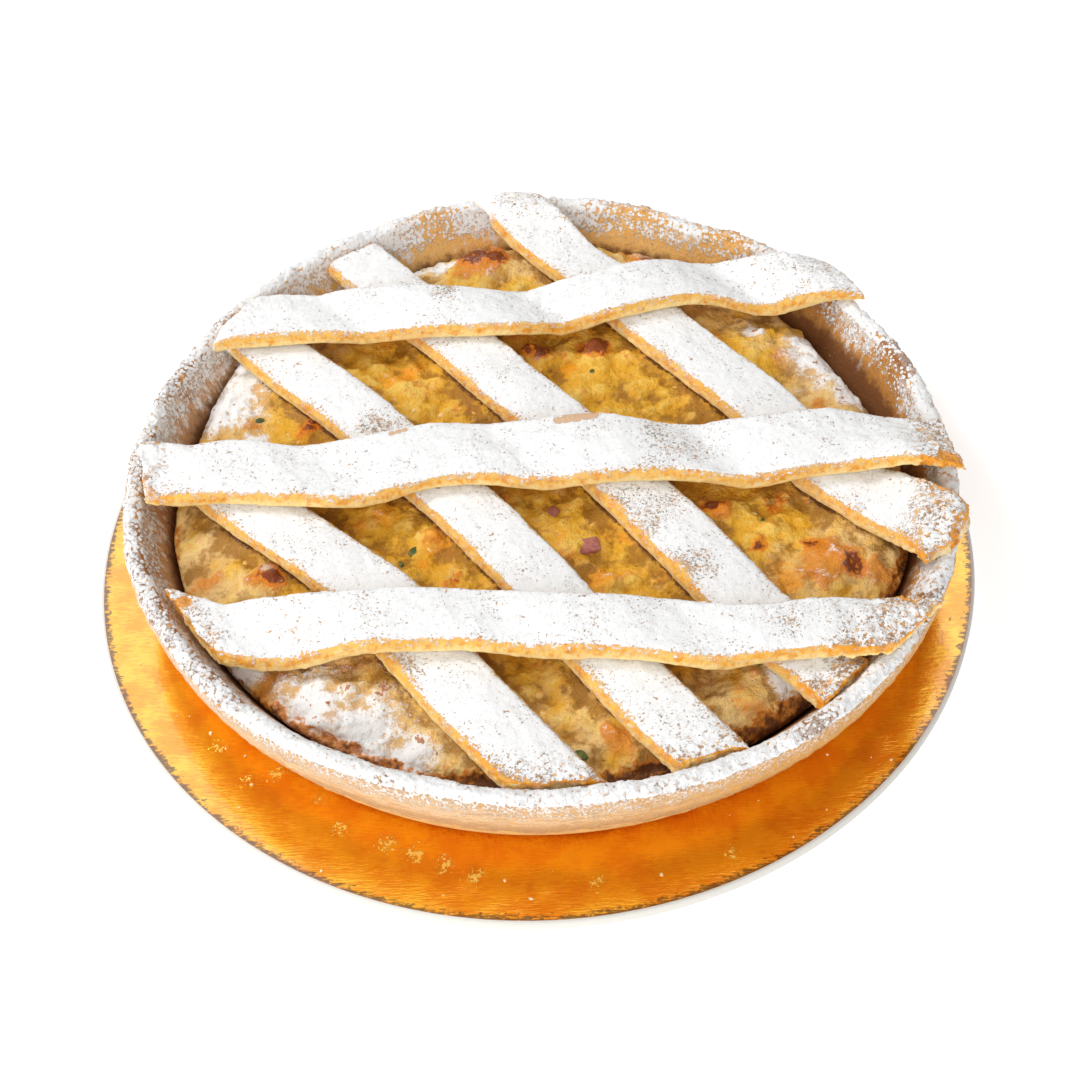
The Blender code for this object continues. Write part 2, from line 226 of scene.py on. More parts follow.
class Finish:
    """A material that is being made: its node tree, and one method that adds any node."""

    def __init__(self, name):
        self.material = bpy.data.materials.new(name)
        self.material.use_nodes = True
        self.tree = self.material.node_tree
        self.surface = self.tree.nodes["Principled BSDF"]
        self.place = self.node("ShaderNodeTexCoord", output="Object")

    def node(self, kind, settings=None, sockets=None, output=0):
        made = self.tree.nodes.new(kind)
        for name, value in (settings or {}).items():
            setattr(made, name, value)
        for name, value in (sockets or {}).items():
            self.feed(made.inputs[name], value)
        return Wire(self, made.outputs[output])

    def feed(self, socket, value):
        if isinstance(value, Wire):
            self.tree.links.new(value.socket, socket)
        elif socket.type == "RGBA":
            socket.default_value = (*value, 1.0)
        else:
            socket.default_value = value

    def set(self, **values):
        """Feeds the surface shader; Base_Color stands for the socket Base Color."""
        for name, value in values.items():
            self.feed(self.surface.inputs[name.replace("_", " ")], value)

    def masks(self, *names):
        """Numbers that were worked out for each corner of the mesh."""
        kind = "ShaderNodeAttribute"
        return [self.node(kind, {"attribute_name": name}, output="Fac") for name in names]

    def up(self):
        """How far the surface faces up: 1 on the level, 0 on a wall."""
        normal = self.node("ShaderNodeNewGeometry", output="Normal")
        return self.node("ShaderNodeSeparateXYZ", sockets={0: normal}, output="Z")

    def noise(self, size, detail=2.0, roughness=0.5, seed=0.0, stretch=WHITE):
        """Uneven numbers round 0.5, with lumps of this size in millimetres."""
        moved = {"Vector": self.place, "Location": (seed, 2 * seed, 3 * seed), "Scale": stretch}
        place = self.node("ShaderNodeMapping", sockets=moved)
        sockets = {"Vector": place, "Scale": 1 / (size * MM), "Detail": detail, "Roughness": roughness}
        return self.node("ShaderNodeTexNoise", sockets=sockets)

    def cells(self, size, seed=0.0):
        """How far away the middle of the nearest cell is, in cells of this size in millimetres."""
        moved = {"Vector": self.place, "Location": (seed, 2 * seed, 3 * seed)}
        place = self.node("ShaderNodeMapping", sockets=moved)
        sockets = {"Vector": place, "Scale": 1 / (size * MM)}
        return self.node("ShaderNodeTexVoronoi", sockets=sockets)

    def blend(self, share, first, second):
        """The first colour turning into the second as share goes from 0 to 1."""
        sockets = {0: share, 6: first, 7: second}
        return self.node("ShaderNodeMix", {"data_type": "RGBA"}, sockets, output=2)

    def bump(self, height, distance):
        """Relief finer than the faces; height 1 stands this many millimetres above height 0."""
        return self.node("ShaderNodeBump", sockets={"Height": height, "Distance": distance * MM})


# %% [markdown]
# ## Modelling helpers
#
# Every solid gets the same treatment: copy, merge, cut into small even faces, then push the faces
# about. Sculpting by hand would do it too, but a Displace modifier with a cloud texture gives the
# same crumbly relief evenly over a whole pie, and a vertex group says where it may act.


# %% Copies and modifiers
def select_only(piece):
    """Leaves just this piece selected and active."""
    bpy.ops.object.select_all(action="DESELECT")
    piece.select_set(True)
    bpy.context.view_layer.objects.active = piece


def apply_modifier(piece, kind, **settings):
    """Adds a modifier, sets it up and applies it."""
    select_only(piece)
    modifier = piece.modifiers.new(kind.lower(), kind)
    for name, value in settings.items():
        setattr(modifier, name, value)
    bpy.ops.object.modifier_apply(modifier=modifier.name)


def copy_of(node, name):
    """A solid's copy as one closed skin, which can be modelled on."""
    mesh = nodes[node].data.copy()
    mesh.materials.clear()
    piece = bpy.data.objects.new(name, mesh)
    bpy.context.scene.collection.objects.link(piece)
    select_only(piece)
    bpy.ops.mesh.customdata_custom_splitnormals_clear()
    bpy.ops.object.mode_set(mode="EDIT")
    bpy.ops.mesh.select_all(action="SELECT")
    bpy.ops.mesh.mark_sharp(clear=True)
    bpy.ops.mesh.remove_doubles(threshold=0.00001)
    bpy.ops.mesh.tris_convert_to_quads(face_threshold=math.pi, shape_threshold=math.pi)
    bpy.ops.object.mode_set(mode="OBJECT")
    bpy.ops.object.shade_smooth()
    return piece


# %% Places and masks
def places_of(piece):
    """The vertices' places, and the way each one faces."""
    count = len(piece.data.vertices)
    places = np.zeros(count * 3)
    facing = np.zeros(count * 3)
    piece.data.vertices.foreach_get("co", places)
    piece.data.vertices.foreach_get("normal", facing)
    return places.reshape(count, 3), facing.reshape(count, 3)


def move_to(piece, places):
    """Puts the vertices at new places."""
    piece.data.vertices.foreach_set("co", places.ravel())
    piece.data.update()


def choose(piece, kind, chosen):
    """Goes into edit mode with just these edges or faces of the piece selected."""
    bpy.ops.object.mode_set(mode="EDIT")
    bpy.ops.mesh.select_all(action="DESELECT")
    bpy.ops.mesh.select_mode(type=kind)
    bpy.ops.object.mode_set(mode="OBJECT")
    parts = piece.data.edges if kind == "EDGE" else piece.data.polygons
    parts.foreach_set("select", chosen)
    bpy.ops.object.mode_set(mode="EDIT")


def skin_of(*pieces):
    """The faces of one or more pieces, for finding what is near or in the way."""
    corners, faces = [], []
    for piece in pieces:
        faces += [[len(corners) + k for k in face.vertices] for face in piece.data.polygons]
        corners += [corner.co for corner in piece.data.vertices]
    return BVHTree.FromPolygons(corners, faces)


def smooth(values, low, high):
    """0 below low, 1 above high, with a smooth change."""
    share = np.clip((values - low) / (high - low), 0.0, 1.0)
    return share * share * (3.0 - 2.0 * share)


def near_spots(places, spots):
    """1 in the middle of a spot, falling to 0 at its edge; spots are (x, y, radius) in millimetres."""
    most = np.zeros(len(places))
    for x, y, radius in spots:
        away = np.hypot(places[:, 0] - x * MM, places[:, 1] - y * MM) / (radius * MM)
        most = np.maximum(most, 1.0 - smooth(away, 0.0, 1.0))
    return most


def write_masks(piece, **masks):
    """Keeps numbers for each vertex, which a finish can read."""
    for name, values in masks.items():
        mask = piece.data.attributes.new(name, "FLOAT", "POINT")
        mask.data.foreach_set("value", np.asarray(values, np.float32))


def write_group(piece, name, values, levels=24):
    """Keeps weights for each vertex, which a modifier can read."""
    group = piece.vertex_groups.new(name=name)
    steps = np.rint(np.clip(values, 0.0, 1.0) * levels).astype(int)
    for step in range(1, levels + 1):
        group.add(np.flatnonzero(steps == step).tolist(), step / levels, "REPLACE")


# %% Relief, and handing over
def displace(piece, kind, size, strength, group="", level=0.5, depth=2):
    """Pushes the faces by a cloud or cell texture; size and strength are in millimetres."""
    texture = bpy.data.textures.new(f"{piece.name}_{kind.lower()}", kind)
    texture.noise_scale = size * MM
    if kind == "CLOUDS":
        texture.noise_depth = depth
    apply_modifier(
        piece, "DISPLACE", texture=texture, strength=strength * MM, mid_level=level,
        vertex_group=group, texture_coords="LOCAL",
    )


def finish_piece(piece, finish, slot, *replaced):
    """Shades a piece smoothly, gives it its finish, hangs it under the root and hides what it
    replaces.
    """
    select_only(piece)
    bpy.ops.object.shade_smooth()
    piece.data.materials.clear()
    piece.data.materials.append(finish.material)
    piece.vertex_groups.clear()
    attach(piece, "root")
    if replaced:
        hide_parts(*replaced)
    triangles = sum(len(face.vertices) - 2 for face in piece.data.polygons)
    print(f"{piece.name}: {triangles} triangles")


# %% [markdown]
# ## Finish: sugared dough
#
# The strips are white where sugar fell on them. At the cut edges it thins out into flecks over
# toasted dough, and the foot of a cut side stays pale, because the oven never browned it. A painted
# picture would do this too, but it would be stretched on some strip. Instead the finish asks how
# level the surface is, how high up the cut side it is, and lets fine noise tear every border.

# %% Colours of the dough
SUGAR = (0.95, 0.945, 0.94)
SUGAR_SHADE = (0.82, 0.82, 0.815)
CREAM_DOUGH = (0.97, 0.72, 0.31)
GOLDEN_DOUGH = (0.90, 0.50, 0.09)
TOASTED_DOUGH = (0.84, 0.33, 0.02)
TAN_PATCH = (0.72, 0.44, 0.24)
FLECK = (0.60, 0.33, 0.14)
GREY_FLECK = (0.27, 0.21, 0.13)
BROWN_FLECK = (0.50, 0.21, 0.06)
END_FLECK = (0.42, 0.21, 0.07)


# %% Sugared dough
def sugared_dough():
    finish = Finish("sugared_dough")
    lift, brink, shoulder, crumbly = finish.masks("lift", "brink", "shoulder", "crumbly")
    bare, rubbed, buried, dusted, singed = finish.masks("bare", "rubbed", "buried", "dusted", "singed")
    up = finish.up()
    fine = finish.noise(0.9, 3.0, 0.6)
    grain = finish.noise(0.42, 2.0, 0.7, seed=0.3)
    broad = finish.noise(3.0, 2.0, 0.5, seed=0.5)
    crumb = finish.noise(1.7, 3.0, 0.6, seed=0.9)
    patch = finish.noise(12.0, 2.0, 0.5, seed=0.7)
    powdery = finish.noise(1.6, 4.0, 0.75, seed=1.7)
    toast = (lift + (broad - 0.5) * 0.7 + (fine - 0.5) * 0.5).between(0.25, 0.80)
    dough = finish.blend(toast, CREAM_DOUGH, GOLDEN_DOUGH)
    deep = toast * (broad * 0.6 + fine * 0.4 + crumbly * 0.12).between(0.46, 0.62)
    dough = finish.blend(deep, dough, TOASTED_DOUGH)
    level = up + (fine - 0.5) * 1.5 + (grain - 0.5) * 0.5 + (broad - 0.5) * 0.9 - bare * 0.12
    level = level.between(0.55, 0.67)
    thin = 0.650 - patch.between(0.40, 0.62) * 0.070 - bare * 0.115 - brink * 0.10
    speckled = (grain * 0.35 + fine * 0.65 - thin).between(0.0, 0.03)
    speckled = speckled.most((crumb - 0.64 + crumbly * 0.09).between(0.0, 0.03) * crumbly)
    clinging = finish.noise(0.8, 2.0, 0.6, seed=1.1, stretch=(0.5, 0.5, 1.4)).between(0.58, 0.63)
    clinging = clinging * lift.between(0.25, 0.6)
    foot = dusted * (fine * 0.6 + broad * 0.4).between(0.49, 0.60) * lift.between(0.9, 0.5)
    sugar = (level * (1 - speckled * 0.92)).most(clinging * 0.9).most(foot * 0.7)
    sugar = sugar.most((buried + (broad - 0.5) * 1.0 + (fine - 0.5) * 0.6).between(0.45, 0.60))
    streaks = finish.noise(1.0, 2.0, 0.6, seed=2.3, stretch=(0.6, 0.9, 1.0)).between(0.52, 0.58)
    worn = shoulder + (fine - 0.5) * 1.8 + (grain - 0.5) * 0.8 + (patch - 0.5) * 1.0
    worn = worn.between(0.56, 0.72) * (1 - streaks * 0.85) * (1 - buried)
    sugar = sugar * (1 - worn * 0.88)
    wiped = (rubbed * 1.3 + (fine - 0.5) * 0.8).between(0.45, 0.58)
    sugar = sugar * (1 - wiped * 0.9)
    toasty = (singed + (fine - 0.5) * 1.4 + (broad - 0.5) * 1.2).between(0.36, 0.46)
    sugar = sugar * (1 - toasty * 0.92)
    powder = finish.blend((powdery * 0.7 + grain * 0.3).between(0.34, 0.50), SUGAR_SHADE, SUGAR)
    fleck = finish.blend(broad.between(0.46, 0.58), FLECK, GREY_FLECK)
    fleck = finish.blend(brink.between(0.1, 0.6), fleck, dough)
    fleck = finish.blend(crumbly, fleck, finish.blend(broad.between(0.40, 0.50), dough, END_FLECK))
    fleck = finish.blend(wiped, fleck, TAN_PATCH)
    under = finish.blend(up.between(0.78, 0.95), dough, fleck)
    under = finish.blend(worn, under, dough)
    scorch = finish.blend(fine.between(0.5, 0.64), TOASTED_DOUGH, BROWN_FLECK)
    under = finish.blend(toasty, under, scorch)
    relief = finish.bump(grain * 0.4 + powdery * 0.8 + sugar * 0.5, 0.40)
    finish.set(
        Base_Color=finish.blend(sugar, under, powder),
        Roughness=0.55 + sugar * 0.43,
        Normal=relief,
    )
    finish.surface.inputs["Specular IOR Level"].default_value = 0.25
    return finish


# %% [markdown]
# ## Finish: crust
#
# The case is one piece of dough with three looks. Its rim is dusted like the strips, with bigger
# toasted flecks showing through. Its outside is pale tan with faint level streaks from the tin, and
# a paler golden foot. Its inside is browner, under a thin veil of sugar. On the side turned away from
# the light, painted shade makes the case darker gold with less sugar. The back of the inside is
# painted lighter, and the foot of the inside darkens into painted shade against the filling. Three
# materials would meet in hard seams, so one material fades between them by masks.

# %% Colours of the crust
WALL_TAN = (0.84, 0.57, 0.33)
WALL_GOLD = (0.66, 0.38, 0.17)
WALL_PALE = (0.95, 0.79, 0.60)
# Painted shade: the outside wall on the side turned away from the light
WALL_SHADED_SIDE = (0.74, 0.37, 0.08)
WALL_SHADE = (0.54, 0.31, 0.15)
FOOT_GOLD = (0.94, 0.60, 0.22)
INNER_GREY = (0.60, 0.34, 0.17)
# Painted shade: the inside wall on the side turned away from the light
INNER_SHADED_GOLD = (0.60, 0.27, 0.06)
# Painted light: the back of the inside wall, paler where the light from in front falls on it
INNER_BACK_LIT = (0.98, 0.60, 0.21)
# Painted shade, for dark gaps where parts meet
CREVICE_SHADE = (0.16, 0.055, 0.018)
RIM_TOAST = (0.84, 0.42, 0.11)
RIM_BROWN = (0.38, 0.15, 0.04)


# %% Baked crust
def baked_crust():
    finish = Finish("baked_crust")
    crest, inside, height, raised = finish.masks("crest", "inside", "height", "raised")
    bare, lee, behind = finish.masks("bare", "lee", "behind")
    fine = finish.noise(1.1, 3.0, 0.6, seed=0.2)
    grain = finish.noise(0.5, 2.0, 0.7, seed=0.5)
    broad = finish.noise(3.2, 3.0, 0.6, seed=0.7)
    patch = finish.noise(9.0, 2.0, 0.5, seed=0.9)
    layers = finish.noise(5.0, 5.0, 0.65, seed=1.3, stretch=(0.45, 0.45, 4.0))
    smears = finish.noise(2.6, 3.0, 0.6, seed=1.9, stretch=(1.0, 1.0, 0.25))
    # Painted shade: the wall turned away from the light is darker gold, and below it has less flour
    wall = finish.blend((layers + lee * 0.14 - 0.06).between(0.43, 0.57), WALL_TAN, WALL_GOLD)
    wall = finish.blend((lee + (broad - 0.5) * 0.4).between(0.10, 0.75) * 0.85, wall, WALL_SHADED_SIDE)
    tide = height + (layers - 0.5) * 0.7 + (broad - 0.5) * 0.2
    shaded = tide.between(0.26, 0.38) * tide.between(0.62, 0.46)
    wall = finish.blend(shaded * 0.75, wall, WALL_SHADE)
    foot = (height + (layers - 0.5) * 0.6 + (fine - 0.5) * 0.2).between(0.36, 0.20)
    wall = finish.blend(foot * 0.9, wall, FOOT_GOLD)
    floury = (fine * 0.6 + layers * 0.4 - lee * 0.06).between(0.55, 0.65)
    wall = finish.blend(floury * 0.5, wall, WALL_PALE)
    wall = finish.blend((broad * 0.6 + grain * 0.4).between(0.44, 0.36) * 0.6, wall, RIM_TOAST)
    edge = (height + (fine - 0.5) * 0.5 + (broad - 0.5) * 0.4).between(0.74, 0.90)
    wall = finish.blend(edge * 0.7, wall, RIM_TOAST)
    # Painted shade: the inside is darker gold on the side turned away from the light
    inner = finish.blend((lee + (patch - 0.5) * 0.6).between(0.15, 0.55), INNER_GREY, INNER_SHADED_GOLD)
    inner = finish.blend((broad * 0.5 + fine * 0.5).between(0.50, 0.62) * 0.45, inner, RIM_BROWN)
    # Painted light: the back of the inside is paler gold
    inner = finish.blend(behind * 0.85, inner, INNER_BACK_LIT)
    # Painted shade: a thinner veil of sugar on the side turned away from the light
    veil = smears + grain * 0.35 + fine * 0.35 - bare * 0.22 + (height - 0.74) * 0.9
    veil = veil - lee * 0.15 - behind * 0.05
    inner = finish.blend(veil.between(0.62, 0.84) * 0.95, inner, SUGAR)
    # Painted shade: the inside darkens towards the filling, higher on the side away from the light
    deep = (height + (broad - 0.5) * 0.3 - lee * 0.10 + behind * 0.05).between(0.64, 0.46)
    inner = finish.blend(deep * 0.9, inner, CREVICE_SHADE)
    dough = finish.blend(inside, wall, inner)
    beads = finish.cells(1.3, seed=0.4) + (fine - 0.5) * 0.5 - (raised - 0.5) * 0.15
    thin = 0.85 - patch.between(0.38, 0.62) * 0.11 - bare * 0.42
    speckled = (beads + (broad - 0.5) * 0.5 - thin).between(0.0, 0.06)
    level = (crest + (fine - 0.5) * 1.6 + (broad - 0.5) * 0.8).between(0.32, 0.46)
    fallen = (fine * 0.6 + grain * 0.4 + (height - 0.8) * 0.4).between(0.47, 0.57)
    fallen = fallen * height.between(0.45, 0.80) * 0.80
    # Painted shade: less fallen sugar on the side turned away from the light
    sugar = (level * (1 - speckled)).most(fallen * (1 - inside) * (1 - lee * 0.6))
    browner = (patch * 0.3 + broad * 0.7 + bare * 0.16 - behind * 0.2).between(0.50, 0.64)
    toasted = finish.blend(browner, RIM_TOAST, RIM_BROWN)
    under = finish.blend(crest, dough, toasted)
    powder = finish.blend(grain.between(0.28, 0.46), SUGAR_SHADE, SUGAR)
    relief = finish.bump(grain * 0.5 + fine * 0.9 + layers * 0.5 + sugar * 0.5, 0.7)
    finish.set(
        Base_Color=finish.blend(sugar, under, powder),
        Roughness=0.58 + sugar * 0.40,
        Normal=relief,
    )
    finish.surface.inputs["Specular IOR Level"].default_value = 0.2
    return finish


# %% [markdown]
# ## Finish: filling
#
# Baked ricotta and wheat is a moist, half clear custard: pale yellow where it is thick with ricotta,
# yolk orange in patches, olive brown where it is thin, and brown to dark red on the lumps that rose
# out of it. Painted light makes the tops of lumps paler, and painted shade darkens the hollows between
# them, the filling beside each strip, and the gap along the wall, where the filling is also browned.
# Sugar drifted in near the rim. Each of these is a mask of its own, laid over noise, so that no two
# lozenges of the lattice look alike.

# %% Colours of the filling
OCHRE = (0.90, 0.46, 0.030)
RICOTTA = (0.98, 0.63, 0.12)
CREAM = (0.95, 0.69, 0.33)
YOLK = (0.98, 0.36, 0.004)
# Olive brown of thin custard, and also the colour of painted shade
OLIVE_AND_SHADE = (0.39, 0.165, 0.014)
BROWNED = (0.78, 0.26, 0.02)
EMBER = (0.88, 0.24, 0.008)
SCORCHED = (0.22, 0.04, 0.006)
KNOB_BROWN = (0.50, 0.15, 0.02)
MILKY = (0.84, 0.53, 0.25)


# %% Baked filling
def baked_filling():
    finish = Finish("baked_filling")
    browned, scorched, dusted, yolky = finish.masks("browned", "scorched", "dusted", "yolky")
    outer, by_wall, sheltered, tight, raised = finish.masks(
        "outer", "by_wall", "sheltered", "tight", "raised"
    )
    fine = finish.noise(1.6, 2.0, 0.45, seed=0.4)
    grain = finish.noise(0.55, 2.0, 0.7, seed=0.6)
    curds = finish.noise(5.0, 3.0, 0.5, seed=0.8)
    patch = finish.noise(15.0, 3.0, 0.55, seed=1.5)
    murky = finish.noise(10.0, 4.0, 0.6, seed=2.2)
    # Pale where ricotta is thick; painted light also makes the tops of lumps paler
    pale = (curds * 0.7 + raised * 0.4 + (fine - 0.5) * 0.3).between(0.45, 0.70)
    colour = finish.blend(pale, OCHRE, RICOTTA)
    creamy = (outer * 0.16 + patch * 0.6 + murky * 0.4).between(0.52, 0.70)
    colour = finish.blend(creamy * 0.70, colour, CREAM)
    rich = patch * 0.55 + curds * 0.30 + fine * 0.15 + yolky * 0.15 - outer * 0.05
    colour = finish.blend(rich.between(0.52, 0.62) * 0.8, colour, YOLK)
    # Painted shade: olive brown in hollows between lumps and beside the strips, over olive patches of
    # the custard
    shadow = murky + sheltered * 0.20 - outer * 0.02 - (raised - 0.5) * 0.50 + (fine - 0.5) * 0.3
    colour = finish.blend(shadow.between(0.56, 0.79) * 0.86, colour, OLIVE_AND_SHADE)
    # Painted shade: a dark line where the filling lies tight against a strip
    strip_gap_shade = (tight + (fine - 0.5) * 0.8 + (murky - 0.5) * 0.8).between(0.60, 0.85)
    colour = finish.blend(strip_gap_shade * 0.85, colour, CREVICE_SHADE)
    ridge = (raised + (fine - 0.5) * 0.8).between(0.58, 0.85) * murky.between(0.49, 0.56)
    colour = finish.blend(ridge * 0.75, colour, BROWNED)
    brown = (browned * 0.9 + (raised - 0.5) * 0.8 + (curds - 0.5) * 1.2).between(0.35, 0.85)
    colour = finish.blend(brown * browned.between(0.0, 0.3) * 0.85, colour, BROWNED)
    heat = scorched * 1.1 + (fine - 0.5) * 1.1 + (curds - 0.5) * 1.9 + (raised - 0.5) * 0.6
    heat = heat + (scorched.between(0.0, 0.2) - 1) * 0.3
    colour = finish.blend(heat.between(0.46, 0.74) * scorched.between(0.0, 0.1) * 0.80, colour, EMBER)
    dark = heat.between(0.80, 1.10) * scorched.between(0.0, 0.1)
    colour = finish.blend(dark * 0.95, colour, SCORCHED)
    colour = finish.blend(dusted.between(0.15, 0.55) * (1 - strip_gap_shade) * 0.75, colour, MILKY)
    drift = dusted * 1.12 + outer * 0.16 + (raised - 0.5) * 0.5 + (fine - 0.5) * 1.1
    drift = drift + (patch - 0.5) * 0.9 + (curds - 0.5) * 1.4 + (grain - 0.5) * 1.2
    sugar = drift.between(0.42, 0.92) * (1 - dark * 0.8)
    knobs = (curds * 0.6 + fine * 0.4 + (raised - 0.5) * 0.15).between(0.60, 0.64)
    knobs = knobs * dusted.between(0.05, 0.2)
    colour = finish.blend(knobs, colour, KNOB_BROWN)
    sugar = sugar * (1 - knobs * 0.85)
    colour = finish.blend(sugar * 0.95, colour, SUGAR)
    # Browned along the wall, then painted shade in the gap between the filling and the wall
    edge_brown_and_shade = by_wall - dusted * 0.25 + (curds - 0.5) * 1.5 + (fine - 0.5) * 1.2
    colour = finish.blend(edge_brown_and_shade.between(0.34, 0.60) * 0.90, colour, BROWNED)
    colour = finish.blend(edge_brown_and_shade.between(0.50, 1.00) * 0.95, colour, CREVICE_SHADE)
    relief = finish.bump((fine * 0.7 + grain * 0.45) * (1 - sugar * 0.45) + sugar * 0.3, 1.3)
    finish.set(Base_Color=colour, Roughness=0.30 + sugar * 0.55 + grain * 0.1, Normal=relief)
    finish.surface.inputs["Specular IOR Level"].default_value = 0.3
    return finish


# %% [markdown]
# ## Finish: gold card
#
# The pie stands on grey board with gold foil on top. Foil is a mirror with a fine grain, so its two
# colours, pale gold and deep orange, aren't painted: they are the white room and the side of the
# pie, seen in it. Painting them would slide off as soon as the pie is seen from another side.

# %% Colours of the card
GOLD = (0.98, 0.50, 0.020)
DEEP_GOLD = (0.89, 0.35, 0.013)
WORN_GOLD = (0.16, 0.09, 0.015)
FLAKED_GOLD = (0.99, 0.62, 0.12)
BOARD = (0.70, 0.68, 0.63)


# %% Gold foil
def gold_foil():
    finish = Finish("gold_foil")
    foil, edge, flaked = finish.masks("foil", "edge", "flaked")
    foil = foil.between(0.85, 1.0)
    scratch = finish.noise(0.9, 3.0, 0.6, seed=0.3, stretch=(0.25, 1.6, 1.0))
    fine = finish.noise(0.5, 2.0, 0.6, seed=0.8)
    dull = finish.noise(14.0, 4.0, 0.6, seed=1.1)
    pits = finish.noise(1.4, 2.0, 0.6, seed=2.1)
    worn = (edge + (scratch - 0.5) * 1.6 + (pits - 0.5) * 0.8).between(0.62, 0.90)
    worn = worn.most((pits + edge * 0.25).between(0.80, 0.84) * edge.between(0.0, 0.2))
    gold = finish.blend((dull + (scratch - 0.5) * 0.6).between(0.38, 0.62), DEEP_GOLD, GOLD)
    gold = finish.blend(worn * 0.85, gold, WORN_GOLD)
    flakes = (flaked * 0.35 + pits * 1.2 + fine * 0.6).between(1.10, 1.18) * flaked.between(0.0, 0.15)
    gold = finish.blend(flakes, gold, FLAKED_GOLD)
    relief = finish.bump(scratch + dull * 3.0 + flakes * 2.0, 0.075)
    finish.set(
        Base_Color=finish.blend(foil, BOARD, gold),
        Metallic=foil * (1 - flakes * 0.8),
        Coat_Weight=foil,
        Roughness=finish.node(
            "ShaderNodeMapRange", sockets={0: foil, 3: 0.85, 4: 0.09 + fine * 0.08 + flakes * 0.3}
        ),
        Normal=relief,
    )
    finish.surface.inputs["Specular IOR Level"].default_value = 0.05
    finish.surface.inputs["Coat IOR"].default_value = 1.25
    finish.surface.inputs["Coat Roughness"].default_value = 0.08
    return finish


# %% The floor, and all the finishes
def pale_floor_finish():
    finish = Finish("pale_floor")
    finish.set(Base_Color=(0.98, 0.98, 0.98), Roughness=0.9)
    finish.set(Emission_Color=WHITE, Emission_Strength=0.40)
    return finish


floor.data.materials.append(pale_floor_finish().material)
DOUGH, CRUST = sugared_dough(), baked_crust()
FILLING, FOIL = baked_filling(), gold_foil()
print(f"{len(bpy.data.materials)} materials")

# %% [markdown]
# ## The strips
#
# Each strip is rolled dough, cut with a knife and sugared. The solid has the right bends and ends.
# A voxel remesh gives it small even faces, as clay would have, and then passes of Displace do the
# rest: a broad one for hand-rolled unevenness, a crumbly one for the cut sides, finer ones for the
# powder on top, and coarse ones for the ends, which broke up as they were pressed onto the rim. All
# of them push inwards more than outwards, so the strip keeps its size.

# %% Sizes of the strips
STRIP_CELL = 0.00046
RAY_START = 0.1

# How far under the skin of a strip its height is measured
INSIDE_STEP = 0.0016

# How a tucked end is pulled out to the wall of the case, and the narrow gap that stays between them
REACH_FROM, REACH_MOST, TIP, CRACK = 0.012, 0.0045, 0.0025, 0.0004
LANES, LANE_HALF = 40, 0.003

# How the corners of a strip are eased: lanes along it, what is averaged, and the ends that stay
BEND_LANES, BEND_WIDE, BEND_NARROW = 121, 13, 5
END_KEPT = (0.022, 0.008)

# Where an end that was pressed onto the rim is rounded off
TRIMMED_AT, TRIM_ROUND, TRIM_DROP = 0.1265, 0.0028, 0.0016

# How far up a face of the top and one of a side look
TOP_FACING, SIDE_FACING = (0.3, 0.8), (0.45, 0.85)

# Passes of relief: texture, size and strength in millimetres, vertex group, middle level, depth
STRIP_RELIEF = (
    ("CLOUDS", 15.0, 0.9, "", 0.62, 2),
    ("CLOUDS", 2.4, 1.1, "side", 0.62, 3),
    ("CLOUDS", 5.0, 0.7, "top", 0.58, 3),
    ("CLOUDS", 1.3, 0.22, "top", 0.58, 1),
    ("CLOUDS", 4.2, 1.9, "end", 0.56, 3),
    ("CLOUDS", 1.6, 1.1, "end", 0.56, 2),
)

# From the centre of the pie, where the ends crumble, and how far back they do it less
CRUMBLY, BACK = (0.108, 0.124), (0.02, 0.06)

# How far in from the edges sugar thins out, and how wide the worn shoulder is
NEAR_BRINK, FAR_BRINK = (0.0005, 0.0050), (0.0005, 0.0045)
SLANTING_SHOULDER, LONG_SHOULDER = (0.0008, 0.0026), (0.0008, 0.0036)
print(f"{len(SLANTING)} slanting and {len(LONG)} long strips, in cells of {STRIP_CELL / MM:.2f} mm")

# %% Places on the lattice
# What is pulled, as (x, y, radius, by x, by y, by z) in millimetres
TUGS = {
    "strip_slant_4": (
        (126, -30, 20, 4.2, -1.0, 0.9), (116, -48, 9, -2.5, 1.0, 0.3), (-15, 128, 9, 3.5, -0.8, -0.8),
    ),
    "strip_long_middle": ((15, 15, 24, 0, 2.4, 0.4),),
    "strip_long_front": ((-105, -47, 14, -4.0, 5.5, 1.5),),
    "strip_long_back": ((13, 54, 18, -0.5, 2.2, 0.5),),
}

# Places, as (x, y, radius), where little sugar fell, and where a finger rubbed it off
THIN_SUGAR = (
    (43, 2, 17), (38, -20, 14), (45, -44, 14), (28, -14, 10), (-110, -8, 12), (98, -75, 14),
    (88, -80, 12), (-48, 24, 12), (-40, -74, 10), (14, -88, 12), (-26, 82, 10), (70, -72, 8),
)
RUBBED_SPOTS = (
    (9.5, 14.2, 3), (12, 14.6, 3.8), (15, 15, 4), (18, 15.4, 3.7), (20.5, 15.8, 3),
    (-43, 12.8, 1.9), (-41, 13.4, 2), (-39, 14, 1.8),
)

# Corners of the strips that the oven singed
SINGED_SPOTS = (
    (126, -13, 6), (119, -15, 4), (131, -7, 4), (109, -49, 6), (116, -50, 5), (124, -40, 4),
    (-104, 58, 5), (-98, 52, 6), (-112, -37, 5), (-104, -46, 5), (121, 66, 4), (127, 60, 4),
    (-66, 100, 4), (-58, 88, 4), (-20, -115, 5), (10, -118, 4), (60, -104, 4), (104, -60, 5),
)

# Where drifted sugar hides a strip's sides
BURIED_SPOTS = (
    (-53, 104, 22), (-36, 110, 12), (-104, 66, 9), (-124, 10, 16), (-125, -6, 12), (-14, 128, 13),
)
print(f"{len(THIN_SUGAR)} places with thin sugar, {len(SINGED_SPOTS)} singed corners")


